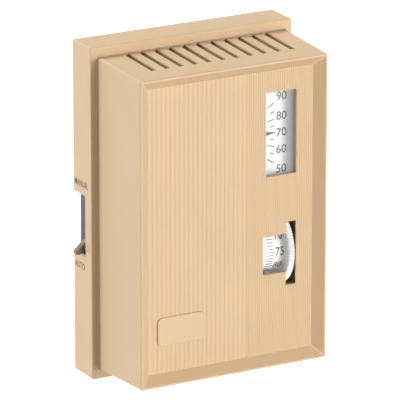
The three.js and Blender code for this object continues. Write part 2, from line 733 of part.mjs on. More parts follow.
const STEM = {
  r: 0.55,
  x: LEVER.x + NOSE.reach * Math.cos(degrees(LEVER.rest)),
  y: LEVER.y0 + LEVER.t / 2,
  foot: LEVER.z + NOSE.reach * Math.sin(degrees(LEVER.rest)) + NOSE.r + 1.6 * GAP,
  length: 5.2,
};

function valveStem() {
  return rod("z", STEM.r, STEM.foot, STEM.foot + STEM.length, STEM.x, STEM.y, 12);
}

// Two passages cross in this block, and the stem opens one and shuts the other.
function valveBody() {
  const [z0, z1] = [STEM.foot + 1.0, STEM.foot + STEM.length + 1.6];
  const body = block(STEM.x - 2.6, STEM.x + 2.6, -8.4, -BASE.t - GAP, z0, z1);
  const cap = rod("y", 1.8, -9.4, -8.0, STEM.x, (z0 + z1) / 2);
  const bore = rod("z", STEM.r + GAP, z0 - 1, z1 - 1.2, STEM.x, STEM.y, 12);
  return cut(join(body, cap), bore);
}

// A leaf spring that bears on the fan's flat face, so that the lever stays where it is put.
function detentSpring() {
  const back = -BASE.t - GAP;
  const bear = LEVER.y0 - GAP;
  const t = 0.4;
  const leaf = outline([
    [back, -19.0],
    [back, -16.6],
    [bear, -13.6],
    [bear, -2.0],
    [bear - t, -2.0],
    [bear - t, -14.0],
    [back - t, -17.2],
    [back - t, -19.0],
  ]);
  return slabFrom(leaf, -24.6, -21.0);
}

// ---------- assembly ----------
const housing = new THREE.Group();
housing.add(piece("front_cover", frontCover(), BEIGE));
for (const [side, x] of [
  ["left", -COVER_SCREW_X],
  ["right", COVER_SCREW_X],
])
  housing.add(piece(`cover_screw_${side}`, coverScrew(), STEEL, x, COVER_SCREW_Y, 0));

const thermometer = new THREE.Group();
thermometer.add(piece("thermometer_lens", thermometerLens(), CLEAR));
thermometer.add(piece("scale_plate", scalePlate(), WHITE));
const needle = piece("thermometer_pointer", pointer(), BLACK, THERMO.x, 0, THERMO.z);
needle.rotation.y = -degrees(THERMO.rest);
thermometer.add(needle);
thermometer.add(piece("thermometer_arbor", thermometerArbor(), STEEL, THERMO.x, 0, THERMO.z));
thermometer.add(
  piece("thermometer_coil", spiralStrip(1.5, 6.6, 4, 0.3, -23.3, -20.4), COPPER, THERMO.x, 0, THERMO.z),
);
thermometer.add(piece("coil_bracket", coilBracket(), STEEL, THERMO.x, 0, THERMO.z));
SCALE_SCREWS.forEach(([x, z], i) => {
  const screw = slottedScrew({ headR: 1.7, headH: 1.0, shankR: 0.8, length: 2.2 }).rotateZ(Math.PI);
  thermometer.add(piece(`scale_screw_${i + 1}`, screw, BRASS, x, SCALE_Y + SCALE.t + GAP, z));
});
housing.add(thermometer);

const base = new THREE.Group();
base.add(piece("wall_plate", wallPlate(), ZINC));
base.add(piece("mounting_base", mountingBase(), CHARCOAL));
for (const [place, z] of [
  ["upper", WALL_SCREWS[0]],
  ["lower", WALL_SCREWS[1]],
]) {
  const screw = slottedScrew({ headR: 3.6, headH: 2.0, shankR: 1.75, length: 18 });
  base.add(piece(`wall_screw_${place}`, screw, STEEL, 0, -PLATE.t - GAP, z));
}
BASE_SCREWS.forEach(([x, z], i) => {
  const screw = slottedScrew({ headR: 2.3, headH: 1.5, shankR: 0.9, length: 4.2 });
  base.add(piece(`base_screw_${i + 1}`, screw, STEEL, x, -BASE.t - GAP, z));
});
for (const [line, x] of [
  ["supply", NIPPLE_X],
  ["output", -NIPPLE_X],
]) {
  base.add(piece(`${line}_nipple`, nipple(), BRASS, x, 0, NIPPLE_Z));
  base.add(piece(`${line}_seal`, sealRing(), RUBBER, x, -0.65, NIPPLE_Z));
}

const relay = new THREE.Group();
relay.add(piece("relay_body", relayBody(), DIE_CAST));
relay.add(piece("relay_diaphragm", relayDiaphragm(), RUBBER));
relay.add(piece("relay_cap", relayCap(), DIE_CAST));
RELAY_SCREWS.forEach(([u, v], i) => {
  const screw = slottedScrew({ headR: 1.35, headH: 0.9, shankR: 0.6, length: 5.6 });
  relay.add(piece(`relay_screw_${i + 1}`, screw, BRASS, RELAY.x + u, -14.4 - GAP, RELAY.z + v));
});
const plug = slottedScrew({ headR: 2.2, headH: 1.2, shankR: 0.6, length: 2.0 });
relay.add(piece("gauge_port_plug", plug, BRASS, RELAY.x, -16.6 - GAP, RELAY.z));
base.add(relay);

const control = new THREE.Group();
control.add(piece("nozzle_block", nozzleBlock(), DIE_CAST));
control.add(piece("nozzle", nozzle(), BRASS, NOZZLE.x, 0, NOZZLE.z));
BLOCK_SCREWS.forEach(([u, v], i) => {
  const screw = slottedScrew({ headR: 1.5, headH: 1.0, shankR: 0.6, length: 1.6 });
  control.add(piece(`nozzle_block_screw_${i + 1}`, screw, STEEL, NOZZLE.x + u, -6.4 - GAP, NOZZLE.z + v));
});
control.add(piece("flapper_stand", flapperStand(), ZINC));
control.add(piece("flapper_pin", rod("x", 0.5, -13.0, 2.0, FLAPPER.y, FLAPPER.z, 16), STEEL));
control.add(piece("flapper_lever", flapperLever(), STEEL));
control.add(piece("sensitivity_slider", sensitivitySlider(), BRASS));
control.add(
  piece("calibration_screw", calibrationScrew(), BRASS, NOZZLE.x, FLAPPER.y - 2.6 - GAP, FLAPPER.z + 24.6),
);
control.add(
  piece("flapper_spring", coilSpring(1.7, 0.25, 4, -9.1, -6.7, NOZZLE.x, NOZZLE.z + 5.6), STEEL),
);
base.add(control);

const setpoint = new THREE.Group();
setpoint.add(piece("lever_stand", leverStand(), ZINC));
setpoint.add(piece("lever_pin", rod("x", 0.6, 2.9, 13.7, FOLLOWER.y, FOLLOWER.z, 16), STEEL));
setpoint.add(piece("setpoint_lever", setpointLever(), ZINC));
setpoint.add(piece("bimetal_strip", bimetalStrip(), COPPER));
setpoint.add(piece("strip_clamp", stripClamp(), STEEL));
const clampScrew = slottedScrew({ headR: 1.6, headH: 1.0, shankR: 0.7, length: 3.0 });
setpoint.add(
  piece("clamp_screw", clampScrew, BRASS, 4.6, STRIP.y - STRIP.t - GAP - 0.9 - GAP, STRIP.z0 + 2.0),
);
base.add(setpoint);

const dial = new THREE.Group();
dial.position.set(0, DIAL.y, DIAL.z);
dial.add(piece("dial_drum", dialDrum(), WHITE));
dial.add(piece("thumbwheel", thumbwheel(), WHITE));
dial.add(piece("setpoint_cam", setpointCam(), BRASS));
dial.add(piece("dial_shaft", rod("x", SHAFT_R, 2.6, 22.3, 0, 0), STEEL));
base.add(dial);
base.add(piece("dial_bracket", dialBracket(), ZINC));
BRACKET_SCREWS.forEach(([x, z], i) => {
  const screw = slottedScrew({ headR: 1.9, headH: 1.1, shankR: 0.9, length: 0.8 });
  base.add(piece(`bracket_screw_${i + 1}`, screw, STEEL, x, -5.5 - GAP, z));
});

const index = new THREE.Group();
index.add(piece("index_lever", indexLever(), CHARCOAL, LEVER.x, 0, LEVER.z));
index.add(piece("index_rivet", leverRivet(), STEEL, LEVER.x, 0, LEVER.z));
index.add(piece("valve_stem", valveStem(), BRASS));
index.add(piece("valve_body", valveBody(), DIE_CAST));
index.add(piece("detent_spring", detentSpring(), STEEL));
base.add(index);

const thermostat = new THREE.Group();
thermostat.add(housing, base);

export default thermostat;
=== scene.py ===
import bpy
import bmesh
import json
import math
from mathutils import Matrix, Vector

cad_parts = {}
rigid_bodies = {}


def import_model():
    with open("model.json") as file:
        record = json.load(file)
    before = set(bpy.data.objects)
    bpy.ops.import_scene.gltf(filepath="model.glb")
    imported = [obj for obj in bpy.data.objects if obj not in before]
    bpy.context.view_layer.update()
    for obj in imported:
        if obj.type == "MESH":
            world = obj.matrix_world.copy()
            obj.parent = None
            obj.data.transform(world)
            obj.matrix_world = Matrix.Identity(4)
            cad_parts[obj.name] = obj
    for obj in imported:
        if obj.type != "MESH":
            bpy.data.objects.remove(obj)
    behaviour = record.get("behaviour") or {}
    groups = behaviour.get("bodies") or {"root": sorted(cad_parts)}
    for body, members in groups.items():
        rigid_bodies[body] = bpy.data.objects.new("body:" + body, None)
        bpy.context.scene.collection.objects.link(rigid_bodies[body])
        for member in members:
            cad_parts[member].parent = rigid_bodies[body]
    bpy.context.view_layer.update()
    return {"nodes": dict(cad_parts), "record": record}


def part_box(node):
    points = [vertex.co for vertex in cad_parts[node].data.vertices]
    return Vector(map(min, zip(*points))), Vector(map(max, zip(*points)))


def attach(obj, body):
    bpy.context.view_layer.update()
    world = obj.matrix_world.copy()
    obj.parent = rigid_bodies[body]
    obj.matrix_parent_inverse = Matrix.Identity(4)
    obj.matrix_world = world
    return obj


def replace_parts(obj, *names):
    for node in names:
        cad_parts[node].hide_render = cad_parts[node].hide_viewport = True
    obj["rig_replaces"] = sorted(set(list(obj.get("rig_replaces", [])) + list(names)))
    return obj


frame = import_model()

# A wall thermostat: a beige moulded cover with a reeded front, a dial thermometer and a set point dial,
# on a charcoal base with the pneumatic works. Metres in the scene, millimetres in the figures below.
MM = 0.001
scene = bpy.context.scene
RECORD = frame["record"]
SLOT_OF = {part["node"]: part["material_slot"] for part in RECORD["subparts"]}
BODY_OF = {node: body for body, nodes in RECORD["behaviour"]["bodies"].items() for node in nodes}


def box_mm(name):
    """The corners of a node's box, in millimetres."""
    low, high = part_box(name)
    return low / MM, high / MM


# ---------- places taken from the frame ----------
COVER_LOW, COVER_HIGH = box_mm("front_cover")
DRUM_LOW, DRUM_HIGH = box_mm("dial_drum")
WHEEL_LOW, WHEEL_HIGH = box_mm("thumbwheel")
COIL_LOW, COIL_HIGH = box_mm("thermometer_coil")

# ---------- cover, in millimetres ----------
PRINT_SPACE = 0.03  # the flange's sides stand this far inside the frame, so that the print on them doesn't
FLANGE_W = COVER_HIGH.x - COVER_LOW.x - 2 * PRINT_SPACE
FLANGE_H = COVER_HIGH.z - COVER_LOW.z - 2 * PRINT_SPACE
FLANGE_DEPTH = 9.8
FRONT_Y = COVER_LOW.y
HOOD_W, HOOD_H = 55.4, 84.0
DRAFT_X, DRAFT_Z = 0.45, 0.9
FLANGE_CORNER, HOOD_CORNER = 0.6, 0.5
FLANGE_EDGE, HOOD_EDGE = 0.35, 0.3
RIM = 0.3  # flat front of the hood, outside the sloping frame
FRAME_INSET = 3.1  # from the hood's side to the panel, across the edge, the rim and the sloping frame
PANEL_Y = FRONT_Y + 2.4
WALL, PANEL_WALL = 1.6, 1.2
PANEL_BACK_Y = PANEL_Y + PANEL_WALL
PANEL_HALF_W = HOOD_W / 2 - DRAFT_X - FRAME_INSET
PANEL_HALF_H = HOOD_H / 2 - DRAFT_Z - FRAME_INSET

# Openings in the panel: the limits on X, then on Z.
THERMO_WINDOW = (10.4, 19.3, 9.8, 32.2)
DIAL_WINDOW = (9.6, 17.2, -16.65, -6.25)
WHEEL_SLOT = (16.45, 19.3, -20.3, -3.1)
OPENINGS = (THERMO_WINDOW, DIAL_WINDOW, WHEEL_SLOT)
PANEL_CUT_Y = -20  # openings in the panel are cut back to here
SLOTS = {"count": 11, "middle": 0.6, "pitch": 4.05, "width": 1.4, "near": -25.3, "far": -10.4}
NOTCH = {"y": -6.4, "low": -11.45, "high": 4.35}
PAD = {"x": -14.6, "z": -26.9, "w": 13.6, "h": 7.6}
PAD_CORNER = 1.2
SCALE_SCREWS = ((-1.5, 30.6), (-1.5, 9.6))  # X and Z
COVER_SCREWS = (-18.0, 18.0)  # X
RIB_SPLIT_X = 4.66  # the reeds are half as wide to the right of this

ARBOR_X, ARBOR_Z = 2.2, 19.8  # the thermometer's
WHEEL_R = (WHEEL_HIGH.z - WHEEL_LOW.z) / 2
DIAL_AXIS = Vector((0, (WHEEL_LOW.y + WHEEL_HIGH.y) / 2, (WHEEL_LOW.z + WHEEL_HIGH.z) / 2))
DRUM_STEP = 7.3  # degrees of drum a degree F
POINTER_STEP = 1.574  # degrees of pointer a degree F


# ---------- materials ----------
def linear(hex_colour):
    """An sRGB hex colour as the linear RGBA that a shader socket takes."""
    channels = [int(hex_colour[i : i + 2], 16) / 255 for i in (1, 3, 5)]
    return tuple(c / 12.92 if c <= 0.04045 else ((c + 0.055) / 1.055) ** 2.4 for c in channels) + (1.0,)


def node(tree, kind, inputs=(), **settings):
    """Adds a node. Inputs pair a socket's name or number with a value, a socket, a node's first output or several."""
    made = tree.nodes.new(kind)
    for key, value in settings.items():
        setattr(made, key, value)
    for key, value in dict(inputs).items():
        for source in value if isinstance(value, list) else [value]:
            if isinstance(source, bpy.types.Node):
                source = source.outputs[0]
            if isinstance(source, bpy.types.NodeSocket):
                tree.links.new(source, made.inputs[key])
            else:
                made.inputs[key].default_value = source
    return made


def finish(
    name,
    colour,
    roughness,
    metallic=0.0,
    grain_mm=0.3,
    grain_depth_mm=0.01,
    stretch=(1, 1, 1),
    mottle=0.03,
    mottle_mm=14,
    rough_spread=0.06,
    dust_and_shade_share=0.0,
    dust_and_shade_colour="#6b5138",
    dust_and_shade_reach_mm=0.8,
    dust_and_shade_open=0.95,
    **shader,
):
    """A surface with grain of a real size, a slow change of tone, uneven gloss, and a second colour in its corners:
    painted shade, with dust on some metals, laid on by how enclosed each point is.
    """
    material = bpy.data.materials.new(name)
    material.use_nodes = True
    tree = material.node_tree
    tree.nodes.clear()
    place = node(tree, "ShaderNodeTexCoord").outputs["Object"]
    run = node(tree, "ShaderNodeMapping", {"Vector": place, "Scale": stretch}).outputs["Vector"]
    slow = node(tree, "ShaderNodeTexNoise", {"Vector": place, "Scale": 1000 / mottle_mm, "Detail": 3.0})
    fine = node(tree, "ShaderNodeTexNoise", {"Vector": run, "Scale": 1000 / grain_mm, "Detail": 4.0, "Roughness": 0.6})
    low_tone, high_tone = 1 - mottle, 1 + mottle
    tone = node(
        tree,
        "ShaderNodeMapRange",
        {"Value": slow.outputs["Fac"], "From Min": 0.3, "From Max": 0.7, "To Min": low_tone, "To Max": high_tone},
    )
    base = node(
        tree,
        "ShaderNodeMix",
        {"Factor": 1.0, 6: linear(colour), 7: tone.outputs["Result"]},
        data_type="RGBA",
        blend_type="MULTIPLY",
    ).outputs[2]
    # Painted shade, with dust on some metals: the colour turns towards the second colour where the surface is enclosed,
    # as in corners, slots and openings.
    if dust_and_shade_share:
        corner = node(tree, "ShaderNodeAmbientOcclusion", {"Distance": dust_and_shade_reach_mm * MM}, samples=8)
        share = node(
            tree,
            "ShaderNodeMapRange",
            {
                "Value": corner.outputs["AO"],
                "From Min": dust_and_shade_open / 3,
                "From Max": dust_and_shade_open,
                "To Min": dust_and_shade_share,
                "To Max": 0.0,
            },
        )
        base = node(
            tree,
            "ShaderNodeMix",
            {"Factor": share.outputs["Result"], 6: base, 7: linear(dust_and_shade_colour)},
            data_type="RGBA",
        ).outputs[2]
    gloss = node(
        tree,
        "ShaderNodeMapRange",
        {
            "Value": fine.outputs["Fac"],
            "From Min": 0.35,
            "From Max": 0.65,
            "To Min": roughness - rough_spread,
            "To Max": roughness + rough_spread,
        },
    )
    bump = node(
        tree,
        "ShaderNodeBump",
        {"Height": fine.outputs["Fac"], "Distance": grain_depth_mm * MM, "Strength": 0.6},
    )
    surface = node(
        tree,
        "ShaderNodeBsdfPrincipled",
        {
            "Base Color": base,
            "Roughness": gloss.outputs["Result"],
            "Normal": bump.outputs["Normal"],
            "Metallic": metallic,
            **shader,
        },
    )
    node(tree, "ShaderNodeOutputMaterial", {"Surface": surface.outputs["BSDF"]})
    return material


# Beige ABS, injection moulded in a spark-eroded tool: a soft satin sheen and faint grain. Deep inside it carries
# painted shade, a near black laid on where the surface is enclosed, so that the openings read as dark in this light.
MOULDED_ABS = finish(
    "moulded_beige_abs", "#cdaf88", 0.5, grain_mm=0.35, grain_depth_mm=0.012, mottle=0.02, dust_and_shade_share=0.94,
    dust_and_shade_colour="#1d130a", dust_and_shade_reach_mm=9, dust_and_shade_open=0.42, IOR=1.54,
)
# Charcoal ABS from a coarser tool: darker, flatter, with a visible grain, and a little painted shade in its corners.
CHARCOAL_ABS = finish(
    "moulded_charcoal_abs", "#3b3834", 0.6, grain_mm=0.4, grain_depth_mm=0.02, mottle=0.05, dust_and_shade_share=0.15, IOR=1.54,
)
# The lever's acetal is a warmer grey and a little waxy.
LEVER_ACETAL = finish(
    "moulded_grey_acetal", "#877468", 0.45, grain_mm=0.5, grain_depth_mm=0.008, mottle=0.03, IOR=1.48,
)
# A very weak glow keeps the whites pale, because these lights alone leave them too grey. No real white has it.
WHITE_LIFT = {"Emission Color": linear("#f6f7fb"), "Emission Strength": 0.12}
# White ABS straight from a polished tool: slightly warm and glossy, with a trace of painted shade in its corners.
WHITE_ABS = finish(
    "polished_white_abs", "#dfe0da", 0.32, grain_mm=0.6, grain_depth_mm=0.004, mottle=0.015, dust_and_shade_share=0.1, IOR=1.54,
    **WHITE_LIFT,
)
# The drum is white styrene, duller, because the print needs a key. A trace of painted shade darkens its corners.
WHITE_STYRENE = finish(
    "matt_white_styrene", "#f1f1ef", 0.5, grain_mm=0.4, grain_depth_mm=0.006, mottle=0.015, dust_and_shade_share=0.05, IOR=1.55,
    **WHITE_LIFT,
)
# The scale is aluminium sheet with baked white enamel: even, smooth, hardly any grain.
WHITE_ENAMEL = finish(
    "baked_white_enamel", "#dcdcd8", 0.38, grain_mm=0.8, grain_depth_mm=0.003, mottle=0.01, IOR=1.5,
    # The enamel glows more than the other whites: painted light that brightens the scale where the window's edge shades
    # it.
    **{**WHITE_LIFT, "Emission Strength": 0.27},
)
# Pad-printed ink lies on top of the surface: matt, slightly uneven in density.
INK = {"grain_mm": 0.12, "grain_depth_mm": 0.002, "mottle": 0.12, "mottle_mm": 0.6}
GREY_INK = finish("pad_printed_grey_ink", "#77776f", 0.6, **INK)
BROWN_INK = finish("pad_printed_brown_ink", "#4b3f38", 0.6, **INK)
# Cast acrylic, thin enough to look through: a faint cool tint and sharp highlights.
CLEAR_ACRYLIC = finish(
    "cast_clear_acrylic", "#dfe6e8", 0.06, grain_mm=2.0, grain_depth_mm=0.001, mottle=0.01, rough_spread=0.02,
    Alpha=0.07, IOR=1.49,
)
# The pointer's enamel is sprayed on: near black with a green cast.
POINTER_ENAMEL = finish(
    "sprayed_dark_enamel", "#3a3f3a", 0.4, grain_mm=0.3, grain_depth_mm=0.004, mottle=0.05, IOR=1.5,
)
# Zinc-plated sheet: bluish grey, drawn slightly along the rolling direction, darker in its corners with dust and
# painted shade.
ZINC_PLATE = finish(
    "zinc_plated_sheet_steel", "#b4b8ba", 0.36, 1.0, grain_mm=0.5, grain_depth_mm=0.003, stretch=(1, 1, 0.08),
    mottle=0.08, mottle_mm=5, rough_spread=0.1, dust_and_shade_share=0.25, dust_and_shade_colour="#57544f",
)
# Bright plated screws and pins, darker in the slots and threads with dust and painted shade.
BRIGHT_STEEL = finish(
    "nickel_plated_steel", "#c6c5c0", 0.26, 1.0, grain_mm=0.2, grain_depth_mm=0.002, mottle=0.04, mottle_mm=2,
    dust_and_shade_share=0.4, dust_and_shade_colour="#4a443c",
)
# Spring strip keeps a straw and grey tone from tempering.
SPRING_STEEL = finish(
    "tempered_spring_steel", "#9c9a96", 0.3, 1.0, grain_mm=0.25, grain_depth_mm=0.002, stretch=(1, 1, 0.1), mottle=0.1,
    mottle_mm=3,
)
# Zinc die casting: dull, with a fine orange-peel skin, and painted shade in its corners.
DIE_CASTING = finish(
    "zinc_die_casting", "#a3a4a3", 0.5, 1.0, grain_mm=0.45, grain_depth_mm=0.03, mottle=0.07, mottle_mm=4,
    dust_and_shade_share=0.35, dust_and_shade_colour="#4f4d49",
)
# Turned brass: warm, with fine lines round it that the lathe leaves, and painted shade in its corners.
TURNED_BRASS = finish(
    "turned_brass", "#c9a45c", 0.28, 1.0, grain_mm=0.25, grain_depth_mm=0.006, stretch=(0.1, 1, 0.1), mottle=0.06,
    mottle_mm=2, dust_and_shade_share=0.35, dust_and_shade_colour="#5b4526",
)
# Rolled bimetal: coppery grey with lines along the strip.
ROLLED_BIMETAL = finish(
    "rolled_bimetal", "#b58f6a", 0.34, 1.0, grain_mm=0.3, grain_depth_mm=0.003, stretch=(1, 1, 0.06), mottle=0.08,
    mottle_mm=4,
)
# Moulded nitrile rubber: black, no highlights.
NITRILE = finish("moulded_nitrile_rubber", "#2c2b2a", 0.8, grain_mm=0.25, grain_depth_mm=0.02, mottle=0.08, mottle_mm=3)

MATERIAL_OF_SLOT = {
    "cover_plastic": MOULDED_ABS,
    "charcoal_plastic": CHARCOAL_ABS,
    "lever_plastic": LEVER_ACETAL,
    "white_scale": WHITE_STYRENE,
    "white_wheel": WHITE_ABS,
    "pointer_paint": POINTER_ENAMEL,
    "clear_lens": CLEAR_ACRYLIC,
    "steel_hardware": BRIGHT_STEEL,
    "spring_steel": SPRING_STEEL,
    "zinc_plate": ZINC_PLATE,
    "die_casting": DIE_CASTING,
    "brass_parts": TURNED_BRASS,
    "bimetal": ROLLED_BIMETAL,
    "rubber_seals": NITRILE,
}


# ---------- shared mesh tools ----------
def show(mesh, name, stands_for, body=None, material=None):
    """Makes a piece of a finished mesh: it rides on its node's body and stands for that node."""
    piece = bpy.data.objects.new(name, mesh)
    scene.collection.objects.link(piece)
    mesh.materials.clear()
    mesh.materials.append(material or MATERIAL_OF_SLOT[SLOT_OF[stands_for]])
    mesh.polygons.foreach_set("material_index", [0] * len(mesh.polygons))
    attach(piece, body or BODY_OF[stands_for])
    if stands_for:
        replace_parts(piece, stands_for)
    return piece


def mesh_of(name, points, faces):
    """A mesh from points in millimetres, with doubles merged and its faces pointing outwards."""
    mesh = bpy.data.meshes.new(name)
    mesh.from_pydata([Vector(p) * MM for p in points], [], faces)
    work = bmesh.new()
    work.from_mesh(mesh)
    bmesh.ops.remove_doubles(work, verts=work.verts, dist=1e-7)
    bmesh.ops.recalc_face_normals(work, faces=work.faces)
    work.to_mesh(mesh)
    work.free()
    return mesh


def applied(mesh, *modifiers):
    """The mesh after modifiers, each a kind and its settings."""
    holder = bpy.data.objects.new(mesh.name, mesh)
    scene.collection.objects.link(holder)
    for kind, settings in modifiers:
        modifier = holder.modifiers.new(kind.lower(), kind)
        for key, value in settings.items():
            setattr(modifier, key, value)
    made = bpy.data.meshes.new_from_object(holder.evaluated_get(bpy.context.evaluated_depsgraph_get()))
    made.name = mesh.name
    bpy.data.objects.remove(holder)
    return made


def combined(mesh, operation, *tools):
    """The mesh joined with, or cut by, closed tool meshes."""
    holders = []
    steps = []
    for tool in tools:
        holder = bpy.data.objects.new(tool.name, tool)
        scene.collection.objects.link(holder)
        holders.append(holder)
        steps.append(("BOOLEAN", {"operation": operation, "object": holder, "solver": "MANIFOLD"}))
    made = applied(mesh, *steps)
    for holder in holders:
        bpy.data.objects.remove(holder)
    return made


def rounded(mesh, width, segments=2, angle=35):
    """Softens edges sharper than an angle by a moulding or machining radius, in millimetres."""
    bevel = {"width": width * MM, "segments": segments, "limit_method": "ANGLE", "angle_limit": math.radians(angle)}
    return flat_faces_flat(smooth_by_angle(applied(mesh, ("BEVEL", bevel))))


def flat_faces_flat(mesh):
    """Lets a large flat face keep its own direction up to its rounded edge, so that it shades evenly."""
    return applied(mesh, ("WEIGHTED_NORMAL", {"keep_sharp": True, "weight": 100}))


def smooth_by_angle(mesh, angle=35):
    """Smooth shading, except across edges sharper than the angle."""
    mesh.shade_smooth()
    work = bmesh.new()
    work.from_mesh(mesh)
    limit = math.radians(angle)
    for edge in work.edges:
        edge.smooth = len(edge.link_faces) == 2 and edge.calc_face_angle(0) < limit
    work.to_mesh(mesh)
    work.free()
    return mesh


def ring(half_w, half_h, corner, y, steps=8):
    """A rounded rectangle in the plane y, as points."""
    points = []
    for sx, sz, start in ((1, -1, -90), (1, 1, 0), (-1, 1, 90), (-1, -1, 180)):
        middle_x, middle_z = sx * (half_w - corner), sz * (half_h - corner)
        for i in range(steps + 1):
            a = math.radians(start + 90 * i / steps)
            points.append((middle_x + corner * math.cos(a), y, middle_z + corner * math.sin(a)))
    return points


def loft(name, rings):
    """A closed skin through rings of the same number of points."""
    count = len(rings[0])
    points = [p for one in rings for p in one]
    faces = [
        (k * count + i, k * count + (i + 1) % count, (k + 1) * count + (i + 1) % count, (k + 1) * count + i)
        for k in range(len(rings) - 1)
        for i in range(count)
    ]
    last = (len(rings) - 1) * count
    faces += [tuple(range(count)), tuple(last + i for i in reversed(range(count)))]
    return mesh_of(name, points, faces)


def block(name, x0, x1, y0, y1, z0, z1, corner=0.0):
    """A cutter or bar between limits on each axis, its corners round in X and Z."""
    half_w, half_h = (x1 - x0) / 2, (z1 - z0) / 2
    outline = ring(half_w, half_h, max(corner, 0.001), 0, 3 if corner else 1)
    middle = Vector(((x0 + x1) / 2, 0, (z0 + z1) / 2))
    return loft(name, [[Vector((x, y, z)) + middle for x, _, z in outline] for y in (y0, y1)])


def place_on(axis, along, u, v):
    """A point from its distance along an axis and the two coordinates across it."""
    return Vector({"x": (along, u, v), "y": (u, along, v), "z": (u, v, along)}[axis])


def turned(name, profile, axis, centre, sides):
    """A turned piece: the profile is a closed loop of (distance along the axis, radius)."""
    points = []
    for i in range(sides):
        a = 2 * math.pi * i / sides
        for along, radius in profile:
            u, v = radius * math.cos(a), radius * math.sin(a)
            points.append(Vector(centre) + place_on(axis, along, u, v))
    count = len(profile)
    faces = []
    for i in range(sides):
        near, far = i * count, (i + 1) % sides * count
        faces += [(near + k, near + (k + 1) % count, far + (k + 1) % count, far + k) for k in range(count)]
    return mesh_of(name, points, faces)


def cad_copy(source):
    """A merged copy of a CAD node's mesh, with its flat faces made whole again."""
    mesh = frame["nodes"][source].data.copy()
    mesh.materials.clear()
    work = bmesh.new()
    work.from_mesh(mesh)
    bmesh.ops.remove_doubles(work, verts=work.verts, dist=2e-6)
    bmesh.ops.dissolve_limit(work, angle_limit=math.radians(1), verts=work.verts, edges=work.edges)
    work.to_mesh(mesh)
    work.free()
    return mesh


# ---------- Geometry Nodes ----------
def new_tree(name, **inputs):
    """An empty tree with a material and named inputs of each kind: the tree and its input sockets by name."""
    tree = bpy.data.node_groups.new(name, "GeometryNodeTree")
    for kind, labels in {**inputs, "Material": ["Material"]}.items():
        for label in labels:
            tree.interface.new_socket(label, in_out="INPUT", socket_type="NodeSocket" + kind)
    tree.interface.new_socket("Geometry", in_out="OUTPUT", socket_type="NodeSocketGeometry")
    return tree, tree.nodes.new("NodeGroupInput").outputs


def close_tree(tree, shape, material):
    """Ends a tree: instances become real mesh, and the material is set."""
    real = node(tree, "GeometryNodeRealizeInstances", {"Geometry": shape})
    painted = node(tree, "GeometryNodeSetMaterial", {"Geometry": real, "Material": material})
    node(tree, "NodeGroupOutput", {"Geometry": painted})


def grown(tree, name, values, source=None):
    """Runs a tree once and returns the plain mesh it makes."""
    holder = bpy.data.objects.new(name, source or bpy.data.meshes.new(name))
    scene.collection.objects.link(holder)
    modifier = holder.modifiers.new(tree.name, "NODES")
    modifier.node_group = tree
    for item in tree.interface.items_tree:
        if item.in_out == "INPUT" and item.name in values:
            modifier[item.identifier] = values[item.name]
    made = bpy.data.meshes.new_from_object(holder.evaluated_get(bpy.context.evaluated_depsgraph_get()))
    made.name = name
    bpy.data.objects.remove(holder)
    return made


def bar_row_tree():
    """A row of equal upright bars: round ones are the reeds, square ones cut the slots."""
    tree, given = new_tree(
        "bar_row",
        Int=["Count", "Sides"],
        Vector=["Start"],
        Float=["Pitch", "Width", "Depth", "Height", "Turn"],
    )
    line = node(
        tree,
        "GeometryNodeMeshLine",
        {
            "Count": given["Count"],
            "Start Location": given["Start"],
            "Offset": node(tree, "ShaderNodeCombineXYZ", {0: given["Pitch"]}),
        },
    )
    # A bar of unit size across, turned so that a four-sided one stands square.
    bar = node(tree, "GeometryNodeMeshCylinder", {"Vertices": given["Sides"], "Radius": 1.0, "Depth": given["Height"]})
    turn = node(tree, "ShaderNodeCombineXYZ", {2: given["Turn"]})
    square = node(tree, "GeometryNodeTransform", {"Geometry": bar.outputs["Mesh"], "Rotation": turn})
    half_w = node(tree, "ShaderNodeMath", {0: given["Width"], 1: 0.5}, operation="MULTIPLY")
    half_d = node(tree, "ShaderNodeMath", {0: given["Depth"], 1: 0.5}, operation="MULTIPLY")
    size = node(tree, "ShaderNodeCombineXYZ", {0: half_w, 1: half_d, 2: 1.0})
    sized = node(tree, "GeometryNodeTransform", {"Geometry": square, "Scale": size})
    row = node(tree, "GeometryNodeInstanceOnPoints", {"Points": line, "Instance": sized})
    close_tree(tree, row, given["Material"])
    return tree


def tick_places(tree, given):
    """A point for each tick of a scale, and the angle at which it stands."""
    points = node(tree, "GeometryNodeMeshLine", {"Count": given["Count"], "Offset": (0, 0, 0)})
    index = node(tree, "GeometryNodeInputIndex")
    along = node(tree, "ShaderNodeMath", {0: index, 1: given["Step"]}, operation="MULTIPLY")
    return points, node(tree, "ShaderNodeMath", {0: given["First Angle"], 1: along}, operation="ADD")


